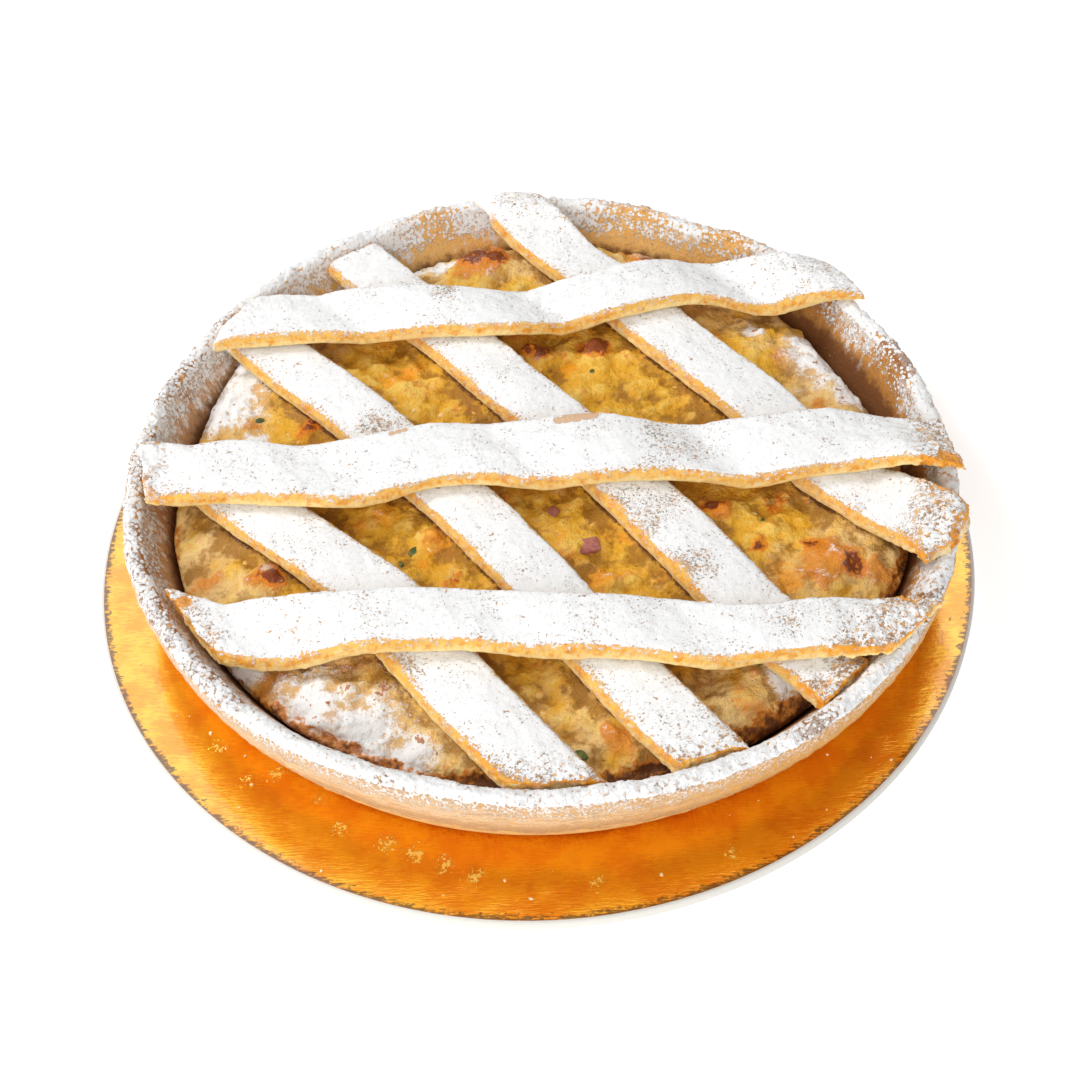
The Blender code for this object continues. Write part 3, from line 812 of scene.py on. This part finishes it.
# %% Measuring a strip
def height_share(piece, skin):
    """Where each vertex lies between the solid's underside, 0, and its top, 1."""
    places, facing = places_of(piece)
    inner = places - facing * INSIDE_STEP
    shares = np.ones(len(places))
    down, up = Vector((0, 0, -1)), Vector((0, 0, 1))
    for k, (x, y, _) in enumerate(inner):
        top = skin.ray_cast(Vector((x, y, RAY_START)), down)[0]
        low = skin.ray_cast(Vector((x, y, -RAY_START)), up)[0]
        if top and low:
            shares[k] = (places[k, 2] - low.z) / (top.z - low.z)
    return np.clip(shares, 0.0, 1.0)


def along_and_across(places):
    """Each vertex's place along the strip and across it, in plan, and the strip's heading."""
    plan = places[:, :2] - places[:, :2].mean(axis=0)
    heading = np.linalg.svd(plan[::50], full_matrices=False)[2][0]
    heading = heading * (1.0 if heading[0] > 0 else -1.0)
    return plan @ heading, plan @ np.array((-heading[1], heading[0])), heading


def lane_ends(lane_of, values, keep):
    """The least or greatest value in each lane, smoothed and read back for each vertex."""
    lanes = np.linspace(lane_of.min(), lane_of.max(), LANES)
    nearest = np.clip(np.rint((lane_of - lanes[0]) / (lanes[1] - lanes[0])), 0, LANES - 1)
    ends = np.array([keep(values[nearest == k]) for k in range(LANES)])
    ends = np.convolve(np.pad(ends, 1, mode="edge"), np.ones(3) / 3, mode="valid")
    return np.interp(lane_of, lanes, ends)


def from_edges(places):
    """How far each vertex is from the strip's near long edge, and from its far one."""
    away, across, _ = along_and_across(places)
    return across - lane_ends(away, across, np.min), lane_ends(away, across, np.max) - across


# %% Bends and ends
CASE_SKIN = skin_of(nodes["crust"])


def softened(values, window):
    """A list of lane values, averaged over neighbouring lanes."""
    weights = np.hanning(window + 2)[1:-1]
    padded = np.pad(values, window // 2, mode="reflect", reflect_type="odd")
    return np.convolve(padded, weights / weights.sum(), mode="valid")


def ease_bends(piece):
    """Turns a strip's corners into bends: both edges and its height are smoothed along it."""
    places, _ = places_of(piece)
    away, across, heading = along_and_across(places)
    lanes = np.linspace(away.min(), away.max(), BEND_LANES)
    nearest = np.rint((away - lanes[0]) / (lanes[1] - lanes[0])).astype(int)
    by_lane = [np.flatnonzero(nearest == k) for k in range(BEND_LANES)]
    near = np.array([across[found].min() for found in by_lane])
    far = np.array([across[found].max() for found in by_lane])
    high = np.array([places[found, 2].mean() for found in by_lane])
    moves = [softened(edge, BEND_WIDE) - softened(edge, BEND_NARROW) for edge in (near, far, high)]
    moves = [np.interp(away, lanes, move) for move in moves]
    low_edge, high_edge = np.interp(away, lanes, near), np.interp(away, lanes, far)
    share = np.clip((across - low_edge) / (high_edge - low_edge), 0.0, 1.0)
    reach = np.abs(away).max()
    taper = 1 - smooth(np.abs(away), *(reach - kept for kept in END_KEPT))
    aside = (moves[0] * (1 - share) + moves[1] * share) * taper
    places[:, :2] += np.outer(aside, (-heading[1], heading[0]))
    places[:, 2] += moves[2] * taper
    move_to(piece, places)


def tug(piece, pulls):
    """Moves what is near a spot; pulls are (x, y, radius, by x, by y, by z) in millimetres."""
    places, _ = places_of(piece)
    for x, y, radius, *vector in pulls:
        places += np.outer(near_spots(places, ((x, y, radius),)), np.array(vector) * MM)
    move_to(piece, places)


def reach_the_wall(piece):
    """Pulls a tucked end out until it leans against the wall of the case, lane by lane."""
    places, _ = places_of(piece)
    away, across, heading = along_and_across(places)
    for way in (-1, 1):
        outward = Vector((way * heading[0], way * heading[1], 0.0))
        end = np.flatnonzero(way * away > 0.5 * np.abs(away).max())
        left = lane_ends(across[end], way * away[end], np.max) - way * away[end]
        tips = np.flatnonzero(left < TIP)
        gap = np.full(len(end), np.nan)
        for k in tips:
            start = Vector(places[end[k]])
            wall = CASE_SKIN.ray_cast(start, outward)[0]
            gap[k] = (wall - start).dot(outward) - left[k] - CRACK if wall else np.nan
        found = ~np.isnan(gap)
        if found[tips].mean() < 0.5:
            continue
        lanes = np.linspace(across[end].min(), across[end].max(), LANES)
        pulls = [gap[found & (np.abs(across[end] - lane) < LANE_HALF)] for lane in lanes]
        pulls = [float(np.median(pull)) if len(pull) else 0.0 for pull in pulls]
        pulls = np.convolve(np.pad(pulls, 4, mode="edge"), np.ones(9) / 9, mode="valid")
        pull = np.clip(np.interp(across[end], lanes, pulls), 0.0, REACH_MOST)
        share = 1.0 - smooth(left, 0.0, REACH_FROM)
        places[end] += np.outer(pull * share, outward)
    move_to(piece, places)


def keep_on_rim(piece):
    """Rounds off an end that would stick out past the rim it was pressed onto."""
    places, _ = places_of(piece)
    out = places[:, :2] - np.array(PIE_CENTRE.xy)
    from_centre = np.linalg.norm(out, axis=1)
    past = np.maximum(from_centre - TRIMMED_AT, 0.0)
    kept = TRIMMED_AT + TRIM_ROUND * np.tanh(past / TRIM_ROUND)
    shrink = np.where(past > 0.0, kept / np.maximum(from_centre, MM), 1.0)
    places[:, :2] = np.array(PIE_CENTRE.xy) + out * shrink[:, None]
    places[:, 2] -= TRIM_DROP * np.tanh(past / TRIM_ROUND)
    move_to(piece, places)


# %% Strips
def make_strip(node):
    piece = copy_of(node, f"{node}_sugared")
    apply_modifier(piece, "REMESH", mode="VOXEL", voxel_size=STRIP_CELL)
    apply_modifier(piece, "SMOOTH", factor=0.5, iterations=22)
    slanting = node in SLANTING
    if slanting:
        reach_the_wall(piece)
        keep_on_rim(piece)
    else:
        ease_bends(piece)
    tug(piece, TUGS.get(node, ()))
    places, facing = places_of(piece)
    lift = height_share(piece, skin_of(nodes[node]))
    from_centre = np.hypot(places[:, 0] - PIE_CENTRE.x, places[:, 1] - PIE_CENTRE.y)
    crumbly = smooth(from_centre, *CRUMBLY) * (1 - 0.6 * smooth(places[:, 1], *BACK))
    write_group(piece, "top", smooth(facing[:, 2], *TOP_FACING))
    write_group(piece, "side", 1.0 - smooth(np.abs(facing[:, 2]), *SIDE_FACING))
    write_group(piece, "end", crumbly)
    for relief in STRIP_RELIEF:
        displace(piece, *relief)
    near, far = (1.0, 0.7) if slanting else (0.55, 0.35)
    from_near, from_far = from_edges(places)
    near_brink = near * (1 - smooth(from_near, *NEAR_BRINK))
    far_brink = far * (1 - smooth(from_far, *FAR_BRINK))
    shoulder = SLANTING_SHOULDER if slanting else LONG_SHOULDER
    write_masks(
        piece,
        lift=lift,
        crumbly=crumbly,
        brink=np.maximum(near_brink, far_brink),
        shoulder=1 - smooth(from_near, *shoulder),
        bare=np.maximum(near_spots(places, THIN_SUGAR), crumbly * 0.6),
        rubbed=near_spots(places, RUBBED_SPOTS),
        buried=near_spots(places, BURIED_SPOTS),
        singed=near_spots(places, SINGED_SPOTS),
        dusted=np.full(len(places), 0.9 if slanting else 0.0),
    )
    finish_piece(piece, DOUGH, "strips", node)
    return piece


strips = [make_strip(node) for node in SLANTING + LONG]

# %% [markdown]
# ## The crust
#
# The case was pressed into a tapered tin by hand, and its rim was torn rather than cut. Remeshing it
# like the strips would waste most of its faces on the floor under the filling. Subdivision rounds it,
# and only the edges that run round the pie are then cut again, so that the rim gets fine faces.

# %% Edges and places of the crust
RING_CUTS = 2

# From the centre of the pie, where the wall starts, and how much of an edge must run round it
WALL_FROM, RING_SHARE = 0.100, 0.8

# The crest of the rim: how far up its faces look, and how high up the case it is
CREST_FACING, CREST_HEIGHT = (0.05, 0.75), (0.62, 0.80)

# The inside of the case: how far in its faces look, and where it starts above the floor
INSIDE_FACING, INSIDE_HEIGHT = (0.15, 0.55), (0.1, 0.2)

# Passes of relief, as for the strips
UPPER_RELIEF = ("CLOUDS", 9.0, 1.0, "upper", 0.58, 2)
RIM_RELIEF = (
    ("CLOUDS", 6.0, 1.8, "rim", 0.54, 3),
    ("VORONOI", 1.5, -0.7, "rim", 0.5),
    ("CLOUDS", 1.2, 0.7, "rim", 0.54, 2),
)
WALL_RELIEF = ("CLOUDS", 3.0, 1.3, "wall", 0.6, 4)

# The way that the sugar and the light came from, in plan; the side turned away from it is painted in
# shade
TO_LIGHT = (-0.8, -0.2)

# Places round the rim, as (x, y, radius), that caught little sugar
BARE_RIM = (
    (45, 128, 26), (75, 112, 24), (-30, 128, 16), (120, 40, 18), (128, 0, 12), (112, -62, 14),
    (-129, 10, 32), (-127, -25, 34), (-116, -55, 32), (-101, -80, 26), (-122, 50, 26), (-105, 80, 16),
    (100, 80, 18), (-50, -117, 13), (-8, -127, 11), (75, -103, 13), (38, -122, 11),
)


def runs_round(piece):
    """Which edges run round the pie, out in its wall and rim."""
    places, _ = places_of(piece)
    ends = np.zeros(len(piece.data.edges) * 2, int)
    piece.data.edges.foreach_get("vertices", ends)
    first, second = places[ends[0::2]], places[ends[1::2]]
    along = second - first
    middle = (first + second) / 2 - np.array(PIE_CENTRE)
    radius = np.hypot(middle[:, 0], middle[:, 1])
    turned = np.abs(middle[:, 0] * along[:, 1] - middle[:, 1] * along[:, 0]) / np.maximum(radius, MM)
    return (turned > RING_SHARE * np.linalg.norm(along, axis=1)) & (radius > WALL_FROM)


# %% Crust
def make_crust():
    piece = copy_of("crust", "crust_baked")
    apply_modifier(piece, "SUBSURF", levels=2, render_levels=2)
    choose(piece, "EDGE", runs_round(piece))
    bpy.ops.mesh.subdivide(number_cuts=RING_CUTS)
    bpy.ops.object.mode_set(mode="OBJECT")
    places, facing = places_of(piece)
    out = places[:, :2] - np.array(PIE_CENTRE.xy)
    from_centre = np.linalg.norm(out, axis=1)
    outward = (facing[:, :2] * out).sum(axis=1) / np.maximum(from_centre, MM)
    height = (places[:, 2] - crust_low.z) / (crust_high.z - crust_low.z)
    crest = smooth(facing[:, 2], *CREST_FACING) * smooth(height, *CREST_HEIGHT)
    inside = smooth(-outward, *INSIDE_FACING) * smooth(height, *INSIDE_HEIGHT)
    write_group(piece, "rim", crest)
    write_group(piece, "wall", smooth(outward, 0.3, 0.8) * smooth(height, 0.05, 0.3))
    write_group(piece, "upper", smooth(height, 0.50, 0.85))
    displace(piece, *UPPER_RELIEF)
    flat, _ = places_of(piece)
    for relief in RIM_RELIEF:
        displace(piece, *relief)
    crumbled, _ = places_of(piece)
    displace(piece, *WALL_RELIEF)
    # Which way each place faces against the light, for the painted shade on the side turned away
    turn_to_light = (out @ np.array(TO_LIGHT)) / np.maximum(from_centre, MM)
    write_masks(
        piece,
        crest=crest,
        inside=inside,
        height=height,
        lee=smooth(-turn_to_light, -0.6, 0.8),
        behind=smooth(out[:, 1] / np.maximum(from_centre, MM), 0.50, 0.85),
        bare=near_spots(places, BARE_RIM),
        raised=smooth(crumbled[:, 2] - flat[:, 2], -0.0008, 0.0006),
    )
    finish_piece(piece, CRUST, "crust", "crust")


make_crust()

# %% [markdown]
# ## The filling
#
# Lumps of ricotta and grains of wheat push up between the strips, and under a strip the filling is
# pressed flat. How far a vertex is from the nearest strip tells the two apart. The solid's flat
# underside, which nobody sees, is swapped for one large face, so that the faces go where they show.

# %% Places in the filling
FILLING_CELL = 0.00082

# From the centre of the pie, where sugar drifted in, where the filling browns and then darkens into
# painted shade in the gap along the wall, and where the lumps end; that dark edge is a little wider
# in front
OUTER, DARK_EDGE, LUMPS_END = (0.070, 0.105), (0.1128, 0.1190), (0.1165, 0.1195)
FRONT, FRONT_WIDER = (0.05, 0.09), 0.0017

# From the nearest strip, where the filling is open, where painted shade falls beside it, and where a
# dark line of painted shade lies tight against it, and how far up an open face looks
OPEN, STRIP_SHADE, TIGHT = (0.0010, 0.0036), (0.0015, 0.0075), (0.0004, 0.0022)
OPEN_FACING = (0.3, 0.7)

# Passes of relief, as for the strips, and how far they take the lowest and the highest lumps
FILLING_RELIEF = (
    ("CLOUDS", 9.0, 4.2, "open", 0.5, 2),
    ("VORONOI", 7.5, -2.4, "open", 0.4),
    ("CLOUDS", 2.8, 1.5, "open", 0.5, 3),
)
RAISED = (-0.0024, 0.0026)

# Places, as (x, y, radius), that the oven browned, and where it went further
BROWNED_SPOTS = (
    (-14, 110, 17), (-82, -33, 10), (-91, 36, 9), (25, 60, 8), (3, 62, 6), (57, -17, 8), (86, -36, 18),
    (103, -42, 12), (43, 113, 12), (-78, -72, 16), (-66, -98, 12), (60, -92, 12), (-100, -30, 12),
    (88, 52, 16), (66, 66, 8), (20, -98, 12), (96, 30, 10), (-72, 30, 6),
)
SCORCHED_SPOTS = (
    (-16, 113, 13), (-8, 110, 10), (-80, -33, 8), (-71, 31, 8), (25, 60, 8), (20, 62, 7), (2, 63, 8),
    (6, 62, 7), (55, -14, 7), (75, -14, 8), (46, 113, 10), (-89, -74, 8), (-83, -78, 7), (99, 16, 10),
    (84, -30, 7), (95, -40, 7), (68, -30, 6), (-25, -38, 6), (27, -8, 7), (-60, -84, 7), (60, 58, 8),
)

# Lumps that rose, as (x, y, radius), and how far the highest one did
KNOBS = (
    (-15, 111, 15), (-81, -33, 9), (24, 60, 7), (3, 62, 7), (-71, 30, 6), (88, -36, 13), (46, 114, 9),
    (-86, -76, 8), (57, -17, 7), (-40, 48, 8), (22, -42, 8), (64, 62, 7), (98, 22, 9), (20, -94, 9),
    (-29, -19, 9),
)
KNOB_HEIGHT = 0.0032

# Places where sugar drifted in, and where yolk shows
DUSTED_SPOTS = (
    (-101, 48, 24), (-94, 60, 18), (-90, 28, 9), (99, 52, 21), (108, 36, 12), (-69, -84, 26),
    (-52, -90, 22), (-86, -62, 12), (-38, -98, 12), (47, 120, 14), (-43, 118, 18), (-28, 112, 8),
    (80, -85, 13), (-81, -31, 3.5), (68, -80, 8), (-110, 20, 14), (20, 116, 10), (95, 62, 12),
    (78, 68, 7), (-60, 100, 16),
)
YOLKY_SPOTS = (
    (-23, -47, 9), (-42, 53, 9), (12, 54, 8), (-20, -16, 8), (19, -39, 8), (55, -85, 7), (-9, 36, 8),
    (-74, 28, 8), (30, -10, 6), (-35, -30, 7), (60, 20, 8), (-10, 60, 6), (75, -45, 8),
    (-28, -18, 10),
)
print(f"{len(KNOBS)} knobs, {len(BROWNED_SPOTS)} browned and {len(SCORCHED_SPOTS)} scorched places")


# %% Filling
def from_lattice(places):
    """How far each place is from the nearest strip."""
    lattice = skin_of(*(nodes[name] for name in SLANTING + LONG))
    return np.array([lattice.find_nearest(Vector(place))[3] for place in places])


def make_filling():
    piece = copy_of("filling", "filling_baked")
    apply_modifier(piece, "SUBSURF", levels=1, render_levels=1)
    apply_modifier(piece, "REMESH", mode="VOXEL", voxel_size=FILLING_CELL)
    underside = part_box("filling")[0].z
    centres = np.zeros(len(piece.data.polygons) * 3)
    piece.data.polygons.foreach_get("center", centres)
    choose(piece, "FACE", centres[2::3] < underside + FILLING_CELL)
    bpy.ops.mesh.delete(type="FACE")
    bpy.ops.mesh.select_all(action="DESELECT")
    bpy.ops.mesh.select_mode(type="EDGE")
    bpy.ops.mesh.select_non_manifold()
    bpy.ops.mesh.edge_face_add()
    bpy.ops.object.mode_set(mode="OBJECT")
    places, facing = places_of(piece)
    from_strip = from_lattice(places)
    open_top = smooth(from_strip, *OPEN) * smooth(facing[:, 2], *OPEN_FACING)
    from_centre = np.hypot(places[:, 0] - PIE_CENTRE.x, places[:, 1] - PIE_CENTRE.y)
    clear_of_wall = 1.0 - smooth(from_centre, *LUMPS_END)
    write_group(piece, "open", open_top * clear_of_wall)
    lifted = places.copy()
    lifted[:, 2] += KNOB_HEIGHT * near_spots(places, KNOBS) * open_top * clear_of_wall
    move_to(piece, lifted)
    for relief in FILLING_RELIEF:
        displace(piece, *relief)
    lumpy, _ = places_of(piece)
    wider = FRONT_WIDER * smooth(-places[:, 1], *FRONT)
    write_masks(
        piece,
        browned=near_spots(places, BROWNED_SPOTS),
        scorched=near_spots(places, SCORCHED_SPOTS),
        dusted=near_spots(places, DUSTED_SPOTS),
        yolky=near_spots(places, YOLKY_SPOTS),
        outer=smooth(from_centre, *OUTER),
        by_wall=smooth(from_centre + wider, *DARK_EDGE),
        raised=smooth(lumpy[:, 2] - places[:, 2], *RAISED),
        sheltered=1.0 - smooth(from_strip, *STRIP_SHADE),
        tight=1.0 - smooth(from_strip, *TIGHT),
    )
    finish_piece(piece, FILLING, "filling", "filling")
    return piece


filling = make_filling()

# %% [markdown]
# ## The card
#
# A disc of board with foil on it. The die that cut it rounded its edge, and its top dishes up towards
# that edge. A plain cylinder would look like a coin. Rings are inset into its top, two narrow ones
# for the edge, and wide ones so that there are faces for the dish and for a few dents.

# %% Sizes of the card
CARD_SIDES = 384
CARD_RINGS = 16
EDGE_ROUND = 0.0005
RING_WIDTH = 0.0022
CREASE = math.radians(50)

# Dents in the foil, as (x, y, radius), and how deep the deepest one is
DENTS = ((-74, -106, 5), (-64, -112, 4), (-24, -130, 6), (60, -118, 7), (100, -90, 6), (-2, -133, 5))
DENT_DEPTH = 0.00035

# Where the foil is scuffed, as (x, y, radius)
FLAKED_SPOTS = (
    (-79, -86, 4), (-87, -88, 3), (-38, -116, 5), (-46, -112, 5), (-30, -120, 4), (-60, -106, 4),
    (-66, -96, 3), (-22, -124, 4), (12, -128, 3), (50, -121, 3), (-97, -76, 3),
)

# The card's top lies a little low and rises from here on; between these radii the foil is worn off
DISH_FROM, DISH_RISE, TOP_SUNK = 0.112, 0.0006, 0.0002
WORN_IN, WORN_OUT = CARD_RADIUS - 0.0055, CARD_RADIUS - 0.001
print(f"a card of {CARD_RADIUS / MM:.0f} mm radius and {CARD_TOP / MM:.1f} mm thick")


# %% Card
def make_card():
    bpy.ops.mesh.primitive_cylinder_add(
        vertices=CARD_SIDES, radius=CARD_RADIUS, depth=CARD_TOP, location=(0, 0, CARD_TOP / 2)
    )
    piece = bpy.context.object
    piece.name = "gold_card_foil"
    bpy.ops.object.transform_apply(location=True, rotation=True, scale=True)
    choose(piece, "FACE", [face.normal.z > 0.9 for face in piece.data.polygons])
    for width in (EDGE_ROUND, EDGE_ROUND, *[RING_WIDTH] * CARD_RINGS):
        bpy.ops.mesh.inset(thickness=width)
    bpy.ops.object.mode_set(mode="OBJECT")
    places, _ = places_of(piece)
    from_middle = np.hypot(places[:, 0], places[:, 1])
    top = places[:, 2] > CARD_TOP / 2
    rim = top & (from_middle > CARD_RADIUS - EDGE_ROUND / 2)
    bevel = top & (from_middle > CARD_RADIUS - EDGE_ROUND * 1.5)
    places[rim, 2] -= EDGE_ROUND
    places[top, 2] -= DENT_DEPTH * near_spots(places[top], DENTS)
    places[top, 2] -= TOP_SUNK
    out_share = np.clip((from_middle - DISH_FROM) / (CARD_RADIUS - DISH_FROM), 0.0, 1.0)
    places[top, 2] += DISH_RISE * np.square(out_share[top])
    move_to(piece, places)
    write_masks(
        piece,
        foil=top & ~bevel,
        edge=smooth(from_middle, WORN_IN, WORN_OUT),
        flaked=near_spots(places, FLAKED_SPOTS),
    )
    finish_piece(piece, FOIL, "gold_card", "gold_card")
    bpy.ops.object.shade_smooth_by_angle(angle=CREASE)
    return piece


card = make_card()
foil_only = bpy.data.collections.new("foil_only")
foil_only.objects.link(card)
lamps["foil_panel"].light_linking.receiver_collection = foil_only

# %% [markdown]
# ## Things in the filling, and crumbs
#
# A few cubes of cured meat, scraps of herb and grains of cooked wheat show in the filling, and
# crumbs fell on the card. Modelling each by hand would take a day. A small cube and a small ball are
# shaped, and their meshes are repeated with another size and turn for each place. A ray cast straight
# down finds the surface that each one lies on, so nothing hangs in the air.

# %% Colours and shapes of small bits
HAM, HAM_FAT = (0.36, 0.105, 0.095), (0.46, 0.17, 0.12)
HERB, HERB_PALE = (0.05, 0.08, 0.02), (0.16, 0.19, 0.04)
WHEAT, WHEAT_BROWN = (0.90, 0.60, 0.20), (0.76, 0.40, 0.07)
CRUMB_GOLD, CRUMB_PALE = (0.85, 0.48, 0.16), (0.97, 0.80, 0.50)


def speckled_finish(name, first, second, size, roughness):
    """Two colours in patches of this size in millimetres."""
    finish = Finish(name)
    patch = finish.noise(size, 2.0, 0.6)
    finish.set(
        Base_Color=finish.blend(patch.between(0.42, 0.58), first, second),
        Roughness=roughness + patch * 0.2,
        Normal=finish.bump(patch, 0.2),
    )
    return finish


def shaped_bit(kind, size, strength):
    """A lump as wide as 1, from a cube or a ball, roughened a little."""
    if kind == "cube":
        bpy.ops.mesh.primitive_cube_add(size=1.0)
        bit = bpy.context.object
        apply_modifier(bit, "BEVEL", width=0.12, segments=2)
        apply_modifier(bit, "SUBSURF", levels=1, render_levels=1)
    else:
        bpy.ops.mesh.primitive_ico_sphere_add(subdivisions=2, radius=0.5)
        bit = bpy.context.object
    bit.name = f"bit_{kind}"
    displace(bit, "CLOUDS", size / MM, strength / MM)
    return bit


def repeat_bit(name, bit, rows, finish, slot):
    """Repeats a bit once per row: (place, (length, width, height), turn, lean)."""
    shape, _ = places_of(bit)
    faces = [tuple(face.vertices) for face in bit.data.polygons]
    corners, joined = [], []
    for place, sizes, turn, lean in rows:
        turned = Matrix.Rotation(turn, 3, "Z") @ Matrix.Rotation(lean, 3, "X")
        moved = (shape * np.array(sizes)) @ np.array(turned).T + np.array(place)
        joined += [tuple(k + len(corners) for k in face) for face in faces]
        corners += moved.tolist()
    mesh = bpy.data.meshes.new(name)
    mesh.from_pydata(corners, [], joined)
    piece = bpy.data.objects.new(name, mesh)
    bpy.context.scene.collection.objects.link(piece)
    finish_piece(piece, finish, slot)


cube_bit = shaped_bit("cube", 0.5, 0.12)
ball_bit = shaped_bit("ball", 0.3, 0.35)
print(f"a cube of {len(cube_bit.data.polygons)} faces, a ball of {len(ball_bit.data.polygons)}")

# %% Where bits come to rest
LEAN = math.radians(6)
filling_skin = skin_of(filling)
lattice_skin = skin_of(*strips)
card_skin = skin_of(card)


def fall_on(skin, x, y):
    """Where a thing dropped at x, y comes to rest."""
    return skin.ray_cast(Vector((x, y, RAY_START)), Vector((0, 0, -1)))[0]


def on_filling(x, y, sink):
    """A place on the filling, a little sunk in; none where a strip covers it."""
    place = fall_on(filling_skin, x, y)
    if place is None or fall_on(lattice_skin, x, y) is not None:
        return None
    return place - Vector((0, 0, sink))


def rows_on_filling(spots, sink):
    """Rows for spots given as (x, y, length, width, height, turn) in millimetres and degrees."""
    rows = []
    for x, y, length, width, height, turn in spots:
        place = on_filling(x * MM, y * MM, sink * height * MM)
        if place is not None:
            sizes = (length * MM, width * MM, height * MM)
            rows.append((place, sizes, math.radians(turn), LEAN))
    return rows


# %% Ham and herbs
HAM_SPOTS = (
    (16, -26, 7.5, 5.5, 3, 12), (6, -11, 4, 3.5, 2.4, 55), (-62, 55, 3.5, 3, 2.2, 10),
    (58, -96, 4.5, 4, 2.4, 35), (38, 64, 3.5, 3, 2.2, 60), (-57, -36, 3.5, 3, 2.2, 15),
)
HERB_SPOTS = (
    (-57, 65, 5, 3, 1.2, 30), (-37, -25, 4.5, 3, 1.2, 70), (61, 75, 5, 2.2, 1.2, 160),
    (9, -101, 6, 3, 1.4, 140), (-89, 38, 4, 2.4, 1.2, 20), (-41, -30, 3, 2, 1, 100),
    (22, 50, 2.4, 1.6, 0.8, 45), (70, -20, 2.4, 1.5, 0.8, 80),
)
ham_finish = speckled_finish("cured_meat", HAM, HAM_FAT, 2.0, 0.30)
herb_finish = speckled_finish("herb", HERB, HERB_PALE, 1.5, 0.45)
repeat_bit("ham_cubes", cube_bit, rows_on_filling(HAM_SPOTS, 0.28), ham_finish, "filling")
repeat_bit("herb_scraps", ball_bit, rows_on_filling(HERB_SPOTS, 0.1), herb_finish, "filling")

# %% Wheat
# Grains are sunk into the custard wherever no strip is above them and no sugar or brown lies
SEED = 11
WHEAT_TRIES, WHEAT_REACH = 220, 0.112
WHEAT_LENGTH, WHEAT_LEAN = (3.2, 5.2), (-0.4, 0.4)
draw = np.random.default_rng(SEED)
wheat_rows = []
for _ in range(WHEAT_TRIES):
    far = WHEAT_REACH * math.sqrt(draw.random())
    way = draw.random() * math.tau
    length = draw.uniform(*WHEAT_LENGTH) * MM
    turn, lean = draw.random() * math.tau, draw.uniform(*WHEAT_LEAN)
    place = on_filling(far * math.cos(way), far * math.sin(way), length * 0.24)
    if place is None:
        continue
    if near_spots(np.array([place]), DUSTED_SPOTS + BROWNED_SPOTS)[0] < 0.05:
        wheat_rows.append((place, (length, length * 0.62, length * 0.55), turn, lean))
wheat_finish = speckled_finish("wheat", WHEAT, WHEAT_BROWN, 6.0, 0.25)
repeat_bit("wheat_grains", ball_bit, wheat_rows, wheat_finish, "filling")

# %% Crumbs on the card
# They lie in front and at the sides; most are far smaller than the largest
CRUMB_TRIES, CRUMB_LARGEST = 70, 1.5
CRUMB_ARC = (math.radians(150), math.radians(390))
CRUMB_REACH = (0.119, CARD_RADIUS - 0.002)
crumb_rows = []
for _ in range(CRUMB_TRIES):
    way = draw.uniform(*CRUMB_ARC)
    far = draw.uniform(*CRUMB_REACH)
    size = draw.uniform(0.35, 1.0) ** 3 * CRUMB_LARGEST * MM
    turn = draw.random() * math.tau
    place = fall_on(card_skin, far * math.cos(way), far * math.sin(way))
    if place is not None:
        sizes = (size, size * draw.uniform(0.5, 0.8), size * draw.uniform(0.3, 0.5))
        crumb_rows.append((place + Vector((0, 0, 0.15 * size)), sizes, turn, 0.0))
crumb_finish = speckled_finish("crumbs", CRUMB_GOLD, CRUMB_PALE, 1.2, 0.7)
repeat_bit("card_crumbs", ball_bit, crumb_rows, crumb_finish, "crust")
for bit in (cube_bit, ball_bit):
    bpy.data.objects.remove(bit, do_unlink=True)
